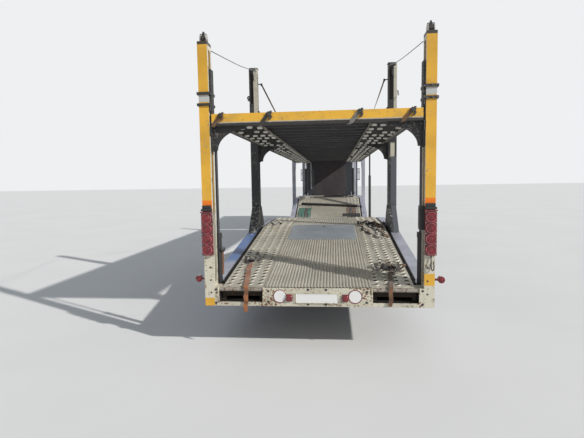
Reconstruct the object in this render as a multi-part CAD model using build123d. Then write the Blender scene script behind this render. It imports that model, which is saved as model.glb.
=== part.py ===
from build123d import *
import os
from math import cos, pi, radians, sin

os.makedirs("parts", exist_ok=True)

# An articulated car transporter: a two-axle tractor and a two-deck semi-trailer, hinged at the kingpin.
# Millimetres. X is to the right, Y forward and Z up, with the origin on the ground under the middle.
# Stations s run forward from the rear face of the trailer's rear posts.

overall_length = 17600
rear_reach = 60
origin_station = overall_length / 2 - rear_reach
tractor_front = overall_length - rear_reach
half_width = 1270
running_gap = 5
seat_gap = 0.3
panel_gap = 4
weld_step = 1

# Tractor's stations, from the front bumper back
front_overhang, wheelbase, kingpin_lead = 1440, 3750, 450
front_axle = tractor_front - front_overhang
drive_axle = front_axle - wheelbase
kingpin_s = drive_axle + kingpin_lead
kingpin_r = 25.4
tractor_rear = drive_axle - 700

# Lower deck: station and height of its top surface, from the tail to the front of the gooseneck
tail_height, hump_height, well_height, neck_height = 760, 1130, 740, 1300
hump_start, hump_end = 3000, 4850
slope_mid, slope_mid_height = 6800, 820
neck_end = kingpin_s + 1100
neck_start = neck_end - 2700
well_end = neck_start - 1500
well_start = well_end - 400
deck_line = [
    (0, tail_height),
    (hump_start, hump_height),
    (hump_end, hump_height),
    (slope_mid, slope_mid_height),
    (well_start, well_height),
    (well_end, well_height),
    (neck_start, neck_height),
    (neck_end, neck_height),
]
deck_thickness, sheet_thickness = 60, 8
track_inner, track_outer, track_fold = 600, 1070, 12
sheet_ribs, rib_half = (-400, -200, 0, 200, 400), 8
beam_inner, beam_web, beam_flange = 1110, 15, 22
neck_depth = 200
neck_underside = neck_height - neck_depth

# Side beam underside, stepped over the wheels and down to the well
tail_underside = 550
beam_underside = [
    (0, tail_underside),
    (2100, tail_underside),
    (2480, 800),
    (hump_end + 30, 800),
    (slope_mid, 560),
    (well_start, 500),
    (well_end, 500),
    (neck_start, neck_underside),
]
cross_depth, cross_width = 80, 60
first_cross, cross_pitch = 950, 640
inner_rail_x, inner_rail_width, inner_rail_depth = 480, 70, 150
inner_rail_start = first_cross + 50
inner_rail_drop = deck_thickness + cross_depth + seat_gap
ramp_bearers, bearer_width = (900, 1900), 60

# Posts: inner and outer face, rear and front face, top
rear_post = dict(x=(1160, half_width), s=(0, 160), top=3530)
mid_post = dict(x=(1130, half_width), s=(2960, 3110), top=3900)
third_post = dict(x=(1130, 1240), s=(neck_start - 860, neck_start - 740), top=3260)
post_wall, post_slot, slot_foot, slot_head = 10, 44, 250, 60
head_height, head_base, cheek, cheek_r, cheek_inset, cheek_neck = 60, 20, 10, 46, 18, 6
sheave_r, sheave_half, sheave_pin_r, sheave_lift = 38, 14, 14, 4
mid_base_height, mid_base_flare = 60, 70

# Tail beam with the two ramp pockets, the pockets' rollers and the number plate's bracket
tail_beam_depth, tail_beam_wall = 180, 10
pocket_x = (612, 1108)
pocket_z = (596, 712)
roller_s, roller_z, roller_r, notch_depth = 25, 735, 21, 52
plate_half, plate_z, plate_stand = 262, (584, 706), 6
ramp_z = (pocket_z[0] + seat_gap, 704)
ramp_x = (620, 1100)
ramp_length, ramp_tail, ramp_rail, ramp_rung_pitch = 2000, 110, 45, 280

# Upper deck and its lift
upper_bottom, upper_top = 2560, 2690
upper_front, upper_rail_front = third_post["s"][0] - 50, third_post["s"][0] + 100
upper_rail_x, rail_web = (1030, 1100), 12
upper_beam_half, upper_beam_s = 1134, 110
lift_down = 300
upper_plate_z = (2640, 2652)
rung_width, rung_pitch = 40, 350
carriage_rings, carriage_ring_height, carriage_wall = (upper_top + 90, upper_top + 210), 28, 12
guide_z, guide_thickness = (upper_bottom - 270, upper_top + 490), 20
gusset_reach, gusset_drop, gusset_edge, gusset_thickness = 330, 260, 60, 40
lift_station, lift_x = 255, 1165
lift_barrel_r, lift_bore_r, lift_rod_r, lift_gland_lip = 36, 27, 17, 5
lift_gland, lift_foot, lift_reserve, gland_height = 1350, 560, 450, 60

# Front platform, hinged ahead of the third posts, and its two tilt cylinders
platform_hinge_s, platform_hinge_z = neck_start - 560, 2600
platform_rear, platform_front = platform_hinge_s - 80, tractor_front - 640
platform_slope = 0.0783
platform_depth = 130
platform_rail_x = (1030, 1100)
platform_plate_drop, platform_plate_thickness = 30, 12
platform_base_z = 2560
tilt_base_z, tilt_eye_z = 1420, 2700
tilt_s, tilt_x = kingpin_s + 500, 960
tilt_barrel_r, tilt_bore_r, tilt_rod_r = 50, 36, 28
tilt_gland_z, tilt_stroke = 2430, 375
pin_r, eye_play = 20, 5
neck_post = dict(x=(1000, 1100), s=(tilt_s + 260, tilt_s + 360))

# Wheels: tyre radius, width, rim radius
trailer_tyre = dict(r=395, width=240, rim=222)
tractor_tyre = dict(r=475, width=300, rim=286)
trailer_axles = (hump_start, hump_start + 1350)
trailer_twin_x = (850, 1120)
arch_r = 485
drive_twin_x = (750, 1090)
steer_wheel_x, steer_axis_x = 1055, 830
spindle_r, trailer_stub_r, drive_stub_r = 40, 44, 60
hub_gap = 0.5

# Tractor's frame and running gear
rail_x, rail_z, rail_thickness = (385, 460), (690, 930), 10
cab_front = tractor_front - 70
rail_front = cab_front - 110
engine_half, engine_s, engine_top = 340, (front_axle - 540, front_axle + 540), 1060
fifth_wheel_r, fifth_wheel_thickness = 480, 60
mudguard_r, mudguard_thickness = 530, 8
tank_s, tank_x, tank_z, tank_corner = (drive_axle + 1100, front_axle - 1200), (740, 1240), (440, 960), 110
spring_x, spring_half = 423, 35

# Cab: a shell on the floor height, with rounded roof edges and front corners
cab_rear = cab_front - 2220
cab_half, cab_floor, cab_roof = 1240, 1080, 2850
cab_wall = 50
waist = 1780
roof_corner, front_corner, roof_chamfer = 120, 170, 60
screen_top_s, screen_half = cab_front - 450, 1050
door_s = (cab_front - 1190, cab_front - 350)
door_z = (1130, 2640)
door_gap = 6
door_barrels, door_barrel_r, door_barrel_height = (1300, 1750), 11, 90
door_axis = (cab_half + 6, door_s[1] - 3)
mirror_z, mirror_reach, mirror_s = (1930, 2500), 210, (door_s[1] - 120, door_s[1] - 50)
driver_x, seat_half = -620, 255
seat_s, seat_height, seat_back_height = (front_axle + 50, front_axle + 540), 420, 1050
steer_hub, steer_wheel_r = (cab_front - 510, 1830), 225
steer_column_lean, steer_column_length = 28, 420
bumper_rear, bumper_z, bumper_wall = front_axle + 680, (380, 1074), 60
step_heights, step_depth, step_s = (440, 720), 200, (80, 460)
lamp_x, lamp_z, lamp_depth = (820, 1150), (640, 800), 40
grille_half, grille_z, grille_depth, grille_bars = 860, (1130, 1650), 36, 5


def y(s):
    """Station to the row's Y."""
    return s - origin_station


def extrude_x(points, x):
    """A side-view outline of (station, height) points, extruded from x[0] to x[1]."""
    face = Plane.YZ.offset(x[0]) * Polygon(*[(y(s), z) for s, z in points], align=None)
    return extrude(face, amount=x[1] - x[0], dir=(1, 0, 0))


def extrude_y(points, s):
    """A rear-view outline of (x, height) points, extruded from s[0] to s[1]."""
    face = Plane.XZ.offset(-y(s[0])) * Polygon(*points, align=None)
    return extrude(face, amount=s[1] - s[0], dir=(0, 1, 0))


def extrude_z(points, z):
    """A plan outline of (x, station) points, extruded from z[0] to z[1]."""
    face = Plane.XY.offset(z[0]) * Polygon(*[(x, y(s)) for x, s in points], align=None)
    return extrude(face, amount=z[1] - z[0], dir=(0, 0, 1))


def block(x, s, z):
    """A straight bar between (low, high) pairs of x, station and height."""
    middle = Pos((x[0] + x[1]) / 2, y((s[0] + s[1]) / 2), (z[0] + z[1]) / 2)
    return middle * Box(x[1] - x[0], s[1] - s[0], z[1] - z[0])


def rod_x(x, s, z, r):
    """A round bar along X."""
    return Pos((x[0] + x[1]) / 2, y(s), z) * Rot(0, 90, 0) * Cylinder(r, x[1] - x[0])


def rod_y(x, s, z, r):
    """A round bar along Y."""
    return Pos(x, y((s[0] + s[1]) / 2), z) * Rot(90, 0, 0) * Cylinder(r, s[1] - s[0])


def rod_z(x, s, z, r):
    """A round bar along Z."""
    return Pos(x, y(s), (z[0] + z[1]) / 2) * Cylinder(r, z[1] - z[0])


def grown(pair, by):
    """A (low, high) pair, longer by the same amount at both ends."""
    return (pair[0] - by, pair[1] + by)


def middle(pair):
    """The middle of a (low, high) pair."""
    return (pair[0] + pair[1]) / 2


def swap(x):
    """The same span on the other side."""
    return (-x[1], -x[0])


def span(x):
    """A span symmetric about the middle."""
    return (-x, x)


def on_side(side, x):
    """A span given for the right, moved to the left where side is -1."""
    return x if side > 0 else swap(x)


def line_height(line, s):
    """Height of a line of (station, height) points at station s."""
    for (s0, z0), (s1, z1) in zip(line, line[1:]):
        if s <= s1:
            return z0 + (z1 - z0) * (s - s0) / (s1 - s0)
    return line[-1][1]


def part_of(line, s0, s1, drop=0):
    """The stretch of a line from s0 to s1, lowered by drop."""
    inner = [p for p in line if s0 < p[0] < s1]
    points = [(s0, line_height(line, s0))] + inner + [(s1, line_height(line, s1))]
    return [(s, z - drop) for s, z in points]


def strip(top, bottom, x):
    """A bar whose side view lies between two lines."""
    return extrude_x(top + bottom[::-1], x)


def deck_strip(s, drop, depth, x):
    """A bar that follows the lower deck, from drop to drop + depth under its surface."""
    return strip(part_of(deck_line, *s, drop), part_of(deck_line, *s, drop + depth), x)


def both(shape):
    """A shape and its mirror image on the other side."""
    return [shape, mirror(shape, about=Plane.YZ)]


def fuse(shapes):
    """One solid from pieces that touch or overlap."""
    result = shapes[0]
    for shape in shapes[1:]:
        result = result + shape
    return result


def save(name, *shapes):
    """Writes one node, made of the given solids."""
    solids = [solid for shape in shapes for solid in shape.solids()]
    export_step(Compound(children=solids), f"parts/{name}.step")


def steps(first, last, pitch):
    """Evenly spaced stations from first to last, about pitch apart."""
    count = max(1, round((last - first) / pitch))
    return [first + (last - first) * i / count for i in range(count + 1)]


def trailer_frame():
    """The two stepped side beams, open inside, and the inner rails under the cross members."""
    tail = rear_post["s"][1]
    slot_start = tail + 200
    beam = strip(part_of(deck_line, tail, neck_start), part_of(beam_underside, tail, neck_start),
                 (beam_inner, half_width))
    inside_top = part_of(deck_line, slot_start, well_end, beam_flange)
    inside_low = part_of(beam_underside, slot_start, well_end, -beam_flange)
    beam -= strip(inside_top, inside_low, (beam_inner - weld_step, half_width - beam_web))
    for axle in trailer_axles:
        beam -= rod_x((beam_inner - weld_step, half_width + weld_step), axle, trailer_tyre["r"], arch_r)
    notch_x = lift_x + lift_barrel_r + 2 * running_gap
    notch_s = lift_station + lift_barrel_r + 35
    beam -= block((beam_inner - weld_step, notch_x), (tail - weld_step, notch_s), (0, hump_height))
    rail_x_span = grown((inner_rail_x, inner_rail_x), inner_rail_width / 2)
    rail = deck_strip((inner_rail_start, well_end), inner_rail_drop, inner_rail_depth, rail_x_span)
    save("trailer_frame", *(both(beam) + both(rail)))


def cross_members():
    """The bars between the side beams, under the deck and under the stowed ramps."""
    across = span(beam_inner - seat_gap)
    bars = []
    for s in steps(first_cross, well_end, cross_pitch) + [well_end + 550, neck_start - 40]:
        edge = grown((s, s), cross_width / 2)
        cut = part_of(deck_line, *edge, deck_thickness)
        bars.append(strip(cut, [(p, z - cross_depth) for p, z in cut], across))
    for s in ramp_bearers:
        bars.append(block(across, (s, s + bearer_width), (tail_underside, pocket_z[0])))
    save("cross_members", *bars)


def gooseneck():
    """The raised front of the trailer with the kingpin under it and the tilt cylinders' ears on it."""
    chamfer, bolster, skid, nose = 160, 12, 650, 80
    side = [
        (beam_inner, neck_start),
        (half_width, neck_start),
        (half_width, neck_end - chamfer),
        (half_width - chamfer, neck_end),
        (beam_inner, neck_end),
    ]
    cross_top = neck_height - deck_thickness
    skid_z = (neck_underside, neck_underside + bolster)
    pieces = both(extrude_z(side, (neck_underside, neck_height)))
    for s in (neck_start + 300, kingpin_s - 500, kingpin_s, kingpin_s + 500):
        pieces.append(block(span(beam_inner), (s, s + cross_width), (skid_z[1], cross_top)))
    pieces.append(block(span(beam_inner), (neck_end - nose, neck_end), (neck_underside, neck_height)))
    pieces.append(block(span(skid), grown((kingpin_s, kingpin_s), 700), skid_z))
    pieces += both(block((skid, beam_inner), grown((kingpin_s, kingpin_s), 200), skid_z))
    pieces.append(rod_z(0, kingpin_s, (neck_underside - 84, neck_underside), kingpin_r))
    ear, ear_inner, ear_outer, ear_half = 20, 58, 78, 60
    ear_z = (neck_height, tilt_base_z + 45)
    lugs = [block((x, x + ear), grown((tilt_s, tilt_s), ear_half), ear_z)
            for x in (tilt_x - ear_outer, tilt_x + ear_inner)]
    lugs.append(rod_x(grown((tilt_x, tilt_x), ear_outer), tilt_s, tilt_base_z, pin_r))
    foot_x = (tilt_x - ear_half - ear, beam_inner)
    lugs.append(block(foot_x, grown((tilt_s, tilt_s), ear_half + ear), (cross_top, neck_height)))
    pieces += both(fuse(lugs))
    save("gooseneck", fuse(pieces))



def lower_deck():
    """Two wheel tracks of folded planks and the ribbed sheets between them, one set for each slope."""
    foot = block((tilt_x - 90, beam_inner), grown((tilt_s, tilt_s), 90), (0, 2 * neck_height))
    post = block(grown(neck_post["x"], running_gap), grown(neck_post["s"], running_gap), (0, 2 * neck_height))
    ends = [tail_beam_depth + running_gap] + [s for s, z in deck_line[1:-1]] + [neck_end - 85]
    inside = (track_inner + sheet_thickness, track_outer - sheet_thickness)
    planks = []
    for s0, s1 in zip(ends, ends[1:]):
        run = (s0, s1 - panel_gap)
        cut = grown(run, -track_fold)
        track = deck_strip(run, 0, deck_thickness, (track_inner, track_outer))
        track -= deck_strip(cut, sheet_thickness, deck_thickness, inside)
        planks += both(track - foot - post)
        centre = deck_strip(run, 0, sheet_thickness, span(track_inner - panel_gap))
        for x in sheet_ribs:
            rib_x = grown((x, x), rib_half)
            centre += deck_strip(run, sheet_thickness / 2, deck_thickness - sheet_thickness / 2, rib_x)
        planks.append(centre)
    save("lower_deck", *planks)


def post_section(post, foot, top):
    """A lift post: a box tube with a guide slot along its inner face."""
    x, s = post["x"], post["s"]
    tube = block(x, s, (foot, top))
    tube -= block(grown(x, -post_wall), grown(s, -post_wall), grown((foot, top), weld_step))
    slot_s = grown((middle(s), middle(s)), post_slot / 2)
    tube -= block((x[0] - weld_step, x[0] + post_wall + weld_step), slot_s, (foot + slot_foot, top - slot_head))
    return tube


def sheave_head(post):
    """The head of a rear post: a sheave between two round-topped cheeks, with a lifting eye above."""
    x, s, top = post["x"], post["s"], post["top"]
    centre_s, foot = middle(s), top - head_height
    pin_z = foot + sheave_r + sheave_lift
    inside = grown(x, -cheek_inset)
    pieces = [block(x, s, (foot - head_base, foot))]
    for width in ((inside[0], inside[0] + cheek), (inside[1] - cheek, inside[1])):
        pieces.append(block(width, grown((centre_s, centre_s), cheek_r - cheek_neck), (foot, pin_z)))
        pieces.append(rod_x(width, centre_s, pin_z, cheek_r))
    pieces.append(rod_x(inside, centre_s, pin_z, sheave_pin_r))
    pieces.append(rod_x(grown((middle(x), middle(x)), sheave_half), centre_s, pin_z, sheave_r))
    eye_z = pin_z + cheek_r + 10
    pieces.append(block(inside, grown((centre_s, centre_s), 20), (eye_z - 26, eye_z - 4)))
    eye_x = grown((middle(x), middle(x)), 8)
    eye = rod_x(eye_x, centre_s, eye_z, 24) - rod_x(grown(eye_x, weld_step), centre_s, eye_z + 6, 11)
    return fuse(pieces + [eye])


def rear_posts():
    post = post_section(rear_post, tail_underside, rear_post["top"] - head_height - head_base)
    save("rear_posts", *both(post + sheave_head(rear_post)))


def mid_posts():
    """Posts that stand on the side beams behind the rear axle, with flared feet."""
    x, s = mid_post["x"], mid_post["s"]
    base_top = hump_height + mid_base_height
    post = post_section(mid_post, base_top, mid_post["top"])
    flare = [(hump_start, hump_height), (s[1] + mid_base_flare, hump_height),
             (s[1] + mid_base_flare, hump_height + 12), (s[1], base_top), (s[0], base_top), (s[0], hump_height + 40)]
    base = extrude_x(flare, x)
    cap = block(x, s, (mid_post["top"], mid_post["top"] + 8))
    save("mid_posts", *both(fuse([post, base, cap])))


def front_posts():
    """The third posts, which carry the platform's hinge, and the short posts on the neck under the platform."""
    s, x = third_post["s"], third_post["x"]
    foot = [(p, line_height(deck_line, p)) for p in s]
    third = extrude_x(foot + [(s[1], third_post["top"]), (s[0], third_post["top"])], x)
    slot_s = grown(s, -38)
    third -= block((x[0] - weld_step, x[0] + 60), slot_s, (neck_height + 100, third_post["top"] + weld_step))
    ring_front = s[1] + running_gap + carriage_wall + running_gap
    ring_low = carriage_rings[0] - lift_down - running_gap
    ear_top, ear_front, ear_foot = platform_hinge_z + 60, platform_hinge_s + 60, ring_low - 200
    ear = extrude_x([(s[1], ear_foot), (s[1], ring_low), (ring_front, ring_low), (ring_front, ear_top),
                     (ear_front, ear_top), (ear_front, platform_hinge_z - 60)], (x[0], x[0] + 20))
    pin = rod_x((platform_rail_x[1] - 40, x[0]), platform_hinge_s, platform_hinge_z, pin_r)
    third = fuse([third, ear, pin])
    s, x = neck_post["s"], neck_post["x"]
    top = [(p, platform_height(p) - platform_depth - running_gap) for p in s]
    neck = extrude_x([(s[0], neck_height - deck_thickness), (s[1], neck_height - deck_thickness)] + top[::-1], x)
    shelf = block((x[0], beam_inner), s, (neck_height - deck_thickness, neck_height - 10))
    save("front_posts", *(both(third) + both(neck + shelf)))


def tail_beam():
    """The beam across the tail: two ramp pockets, a roller in a notch over each, and the number plate's bracket."""
    half = rear_post["x"][0]
    wall = tail_beam_wall
    rollers = []
    beam = block(span(half), (0, tail_beam_depth), (tail_underside, tail_height))
    beam -= block(span(half - wall), (wall, tail_beam_depth - wall), grown((tail_underside, tail_height), -wall))
    for x in (pocket_x, swap(pocket_x)):
        beam += block(grown(x, wall), (0, tail_beam_depth), grown(pocket_z, wall))
        beam += block(grown(x, wall), (0, notch_depth + wall), (pocket_z[1], tail_height))
        beam -= block(x, grown((0, tail_beam_depth), weld_step), pocket_z)
        beam -= block(x, (-weld_step, notch_depth), (pocket_z[1] - weld_step, tail_height + weld_step))
        rollers.append(rod_x(grown(x, -seat_gap), roller_s, roller_z, roller_r))
    beam += block(span(plate_half), (-plate_stand, 0), plate_z)
    foot_x = grown((lift_x, lift_x), lift_barrel_r + running_gap)
    foot_s = (tail_beam_depth, lift_station + lift_barrel_r + 2 * running_gap)
    foot = block((foot_x[0], half), foot_s, (lift_foot - 20, lift_foot))
    foot += block((half, foot_x[1]), (rear_post["s"][1], foot_s[1]), (lift_foot - 20, lift_foot))
    save("tail_beam", fuse([beam] + both(foot)), *rollers)


def lift_barrels():
    barrel = rod_z(lift_x, lift_station, (lift_foot, lift_gland), lift_barrel_r)
    barrel -= rod_z(lift_x, lift_station, (lift_foot + 20, lift_gland + weld_step), lift_bore_r)
    gland_z = (lift_gland - gland_height, lift_gland)
    gland = rod_z(lift_x, lift_station, gland_z, lift_barrel_r + lift_gland_lip)
    gland -= rod_z(lift_x, lift_station, grown(gland_z, weld_step), lift_rod_r + weld_step)
    save("lift_barrels", *both(fuse([barrel, gland])))


def lift_rods():
    rod = rod_z(lift_x, lift_station, (lift_gland - lift_reserve, upper_bottom), lift_rod_r)
    save("lift_rods", *both(rod))


def carriage(post, guided):
    """Two collars round a post: on a guide bar and a gusset where guided, else on a block on the deck's rail."""
    x, s = post["x"], post["s"]
    bar_s = grown(s, -30)
    top = carriage_rings[-1] + carriage_ring_height
    if guided:
        bar_x = (x[0] - running_gap - guide_thickness, x[0] - running_gap)
        pieces = [block(bar_x, bar_s, guide_z), gusset(post)]
    else:
        bar_x = (upper_rail_x[0] + 10, upper_rail_x[1])
        pieces = [block(bar_x, bar_s, (upper_top, top))]
    for z in carriage_rings:
        ring_z = (z, z + carriage_ring_height)
        outer = block((bar_x[0], x[1] + running_gap + carriage_wall), grown(s, running_gap + carriage_wall), ring_z)
        pieces.append(outer - block(grown(x, running_gap), grown(s, running_gap), grown(ring_z, weld_step)))
    return fuse(pieces)


def gusset(post):
    """The arched bracket under the upper deck, from its rail down a post's guide bar."""
    x = (upper_rail_x[1] - gusset_reach, post["x"][0] - running_gap)
    s = (middle(post["s"]) - gusset_thickness / 2, middle(post["s"]) + gusset_thickness / 2)
    z = upper_bottom
    plate = block(x, s, (z - gusset_drop, z))
    reach = x[1] - x[0] - gusset_edge
    arch = extrude(Plane.XZ.offset(-y(s[0] - weld_step)) * Pos(x[0], z - gusset_drop)
                   * Ellipse(reach, gusset_drop - gusset_edge / 2),
                   amount=gusset_thickness + 2 * weld_step, dir=(0, 1, 0))
    return plate - arch


def upper_deck():
    """The upper deck's frame: two channel rails, open outward, and the beams across their ends."""
    z = (upper_bottom, upper_top)
    rail = block(upper_rail_x, (upper_beam_s + seat_gap, upper_rail_front), z)
    inside_s = (upper_beam_s + 300, upper_front - 120)
    rail -= block((upper_rail_x[0] + rail_web, upper_rail_x[1] + weld_step), inside_s, grown(z, -rail_web))
    eye_x = (upper_rail_x[1], lift_x + lift_rod_r + running_gap)
    eye = block(eye_x, grown((lift_station, lift_station), 40), (upper_bottom, upper_bottom + 40))
    rear = block(span(upper_beam_half), (0, upper_beam_s), z)
    front = block(span(upper_rail_x[0] - seat_gap), (upper_front - upper_beam_s, upper_front), z)
    save("upper_deck", *(both(rail + eye) + [rear, front]))


def carriages():
    """The six carriages that slide on the posts; the rear four end in arched gussets."""
    pieces = []
    for post, guided in ((rear_post, True), (mid_post, True), (third_post, False)):
        pieces += both(carriage(post, guided))
    save("carriages", *pieces)


def upper_cross_members():
    """The bars that lie across between the upper deck's rails."""
    bars = []
    for s in steps(upper_beam_s + rung_pitch, upper_front - upper_beam_s - rung_pitch, rung_pitch):
        z = (upper_bottom + 20, upper_plate_z[0])
        bars.append(block(span(upper_rail_x[0]), grown((s, s), rung_width / 2), z))
    save("upper_cross_members", *bars)


def upper_tracks():
    """The upper deck's two wheel tracks and the sheet between them."""
    run = (upper_beam_s, upper_front - upper_beam_s)
    track = block((track_inner, upper_rail_x[0]), run, upper_plate_z)
    centre = block(span(track_inner - panel_gap), run, upper_plate_z)
    save("upper_tracks", *(both(track) + [centre]))


def platform_height(s):
    """Height of the platform rails' top at rest."""
    return platform_base_z + platform_depth + platform_slope * (s - platform_rear)


def platform_strip(s, drop, depth, x):
    """A bar along the platform, from drop to drop + depth under its rails' top."""
    top = [(p, platform_height(p) - drop) for p in s]
    return strip(top, [(p, z - depth) for p, z in top], x)


def front_platform():
    """The platform's frame: two channel rails, cross members and the tilt cylinders' brackets."""
    rail = platform_strip((platform_rear, platform_front), 0, platform_depth, platform_rail_x)
    inside = (platform_hinge_s + 200, platform_front - 120)
    rail -= platform_strip(inside, rail_web, platform_depth - 2 * rail_web,
                           (platform_rail_x[0] + rail_web, platform_rail_x[1] + weld_step))
    rail -= rod_x(grown(platform_rail_x, weld_step), platform_hinge_s, platform_hinge_z, pin_r + hub_gap)
    pieces = both(rail)
    under = platform_plate_drop + platform_plate_thickness
    for s in steps(platform_rear + 20, platform_front - 80, 520):
        pieces.append(platform_strip((s, s + 50), under, 70, span(platform_rail_x[0] - seat_gap)))
    bracket, bracket_half = 16, 45
    bracket_z = (tilt_eye_z - 40, platform_height(tilt_s - bracket_half) - under)
    cross = platform_strip(grown((tilt_s, tilt_s), bracket_half), under, 20,
                           (tilt_x - 60, platform_rail_x[0] - seat_gap))
    ears = [block((x, x + bracket), grown((tilt_s, tilt_s), bracket_half), bracket_z)
            for x in (tilt_x - 52, tilt_x + 36)]
    pin = rod_x(grown((tilt_x, tilt_x), 52), tilt_s, tilt_eye_z, pin_r)
    save("front_platform", *(pieces + both(fuse([cross, pin] + ears))))


def platform_tracks():
    """The platform's two wheel tracks and the sheet between them."""
    run = (platform_rear, platform_front)
    track = platform_strip(run, platform_plate_drop, platform_plate_thickness, (track_inner, platform_rail_x[0]))
    centre = platform_strip(run, platform_plate_drop, platform_plate_thickness, span(track_inner - panel_gap))
    save("platform_tracks", *(both(track) + [centre]))


def tilt_barrels():
    barrel_foot, wall = tilt_base_z + 40, 40
    barrel = rod_z(tilt_x, tilt_s, (barrel_foot, tilt_gland_z), tilt_barrel_r)
    barrel -= rod_z(tilt_x, tilt_s, (barrel_foot + wall, tilt_gland_z + weld_step), tilt_bore_r)
    gland_z = (tilt_gland_z - gland_height, tilt_gland_z)
    gland = rod_z(tilt_x, tilt_s, gland_z, tilt_barrel_r + 5)
    gland -= rod_z(tilt_x, tilt_s, grown(gland_z, weld_step), tilt_rod_r + weld_step)
    eye_x = grown((tilt_x, tilt_x), tilt_barrel_r)
    eye = rod_x(eye_x, tilt_s, tilt_base_z, 42)
    eye += block(grown((tilt_x, tilt_x), 30), grown((tilt_s, tilt_s), 30), (tilt_base_z, barrel_foot + 20))
    eye -= rod_x(grown(eye_x, weld_step), tilt_s, tilt_base_z, pin_r + hub_gap)
    save("tilt_barrels", *both(fuse([barrel, gland, eye])))


def tilt_rods():
    bottom = tilt_gland_z - tilt_stroke - 80
    rod = rod_z(tilt_x, tilt_s, (bottom, tilt_eye_z), tilt_rod_r)
    eye_x = grown((tilt_x, tilt_x), 30)
    eye = rod_x(eye_x, tilt_s, tilt_eye_z, 38)
    bore = rod_x(grown(eye_x, weld_step), tilt_s, tilt_eye_z, pin_r + eye_play)
    save("tilt_rods", *both(fuse([rod, eye]) - bore))


def lamp_cluster():
    """Four round lamps one above another on the face of a rear post, under a small hood."""
    centre = middle(rear_post["x"])
    case_z, case_half, case_depth, lamp_r, lamp_pitch = (1130, 1610), 62, 40, 53, 117
    case = block(grown((centre, centre), case_half), (-case_depth, 0), case_z)
    hood = block(grown((centre, centre), case_half + 4), (-rear_reach, 0), (case_z[1], case_z[1] + 12))
    first = case_z[0] + 65
    lamps = [rod_y(centre, (-rear_reach, -case_depth), first + lamp_pitch * i, lamp_r) for i in range(4)]
    return fuse([case, hood] + lamps)


def marker_lamp():
    """A round outline lamp on a rubber stalk beside a rear post."""
    stalk_s, stalk_z, lamp_r, reach = 60, 850, 38, 80
    stalk = rod_x((half_width, half_width + reach - 20), stalk_s, stalk_z, 13)
    return stalk + rod_y(half_width + reach, (stalk_s - 22, stalk_s + 22), stalk_z, lamp_r)


def tail_lamps():
    plate_lamp_z = (610, 690)
    plate_lamps = [block((plate_half + 18, plate_half + 78), (-18, 0), plate_lamp_z),
                   block((-plate_half - 78, -plate_half - 18), (-18, 0), plate_lamp_z)]
    save("tail_lamps", *(both(lamp_cluster()) + both(marker_lamp()) + plate_lamps))


def trailer_axle_beams():
    """Axle tubes with trailing arms from hangers on the inner rails, and air bags."""
    axles = []
    r = trailer_tyre["r"]
    rail_low = inner_rail_drop + inner_rail_depth
    for s in trailer_axles:
        pieces = [rod_x(span(trailer_twin_x[1] - 20), s, r, trailer_stub_r), rod_x(span(700), s, r, 65)]
        hanger = (s + 460, s + 500)
        hanger_top = min(line_height(deck_line, p) for p in hanger) - rail_low
        arm = [(s - 60, r - 40), (hanger[1], r + 60), (hanger[1], hanger_top), (hanger[0], hanger_top),
               (hanger[0] - 60, r + 110), (s - 60, r + 60)]
        bag_s, bag_r = s - 100, 90
        under_rail = part_of(deck_line, bag_s - 2 * bag_r, bag_s + 2 * bag_r, rail_low)
        for x in (inner_rail_x, -inner_rail_x):
            pieces.append(extrude_x(arm, grown((x, x), 45)))
            keep = extrude_x(under_rail + [(bag_s + 2 * bag_r, 0), (bag_s - 2 * bag_r, 0)], grown((x, x), 2 * bag_r))
            pieces.append(rod_z(x, bag_s, (r + 20, hump_height), bag_r) & keep)
        axles.append(fuse(pieces))
    save("trailer_axles", *axles)


def mudguard_shell(s, z, r, x, thickness, start, end):
    """An arc of sheet over a wheel, from angle start to end, 0 being forward and 90 up."""
    ring = rod_x(x, s, z, r) - rod_x(grown(x, weld_step), s, z, r - thickness)
    reach, parts = 3 * r, 6
    wedge = [(s, z)]
    for i in range(parts + 1):
        a = radians(start + (end - start) * i / parts)
        wedge.append((s + reach * cos(a), z + reach * sin(a)))
    return ring & extrude_x(wedge, grown(x, 2 * weld_step))


def trailer_mudguards():
    guards = []
    for s in trailer_axles:
        shell = mudguard_shell(s, trailer_tyre["r"], arch_r - seat_gap, (715, half_width - 8), 8, 60, 120)
        guards += both(shell)
    save("trailer_mudguards", *guards)


def landing_legs():
    """A pair of telescopic legs under the slope to the neck, with the shaft between them."""
    s, x = neck_start - 500, (beam_inner - 125, beam_inner - 10)
    slope_top = line_height(deck_line, s - 60) - deck_thickness - 20
    outer = block((x[0], x[1] - 15), grown((s, s), 50), (560, slope_top))
    plate_low = line_height(beam_underside, s - 60) + 60
    plate = block((x[1] - 15, beam_inner), grown((s, s), 60), (plate_low, slope_top))
    inner = block((x[0] + 15, x[1] - 30), grown((s, s), 35), (420, 560))
    foot = block((x[0] - 30, x[1]), grown((s, s), 90), (405, 420))
    shaft = rod_x(span(x[0] - seat_gap), s, 640, 14)
    save("landing_legs", *(both(fuse([outer, plate, inner, foot])) + [shaft]))


def tyre(size, x, s):
    """A tyre without its tread pattern, centred at x."""
    r, w, rim_r = size["r"], size["width"] / 2, size["rim"]
    height = r - rim_r
    half = [(0.78 * w, rim_r), (w, rim_r + 0.42 * height), (0.97 * w, rim_r + 0.75 * height), (0.82 * w, r)]
    face = Plane.XZ * Polygon(*half, *[(-a, b) for a, b in half[::-1]], align=None)
    return Pos(x, y(s), r) * revolve(face, axis=Axis.X)


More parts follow.
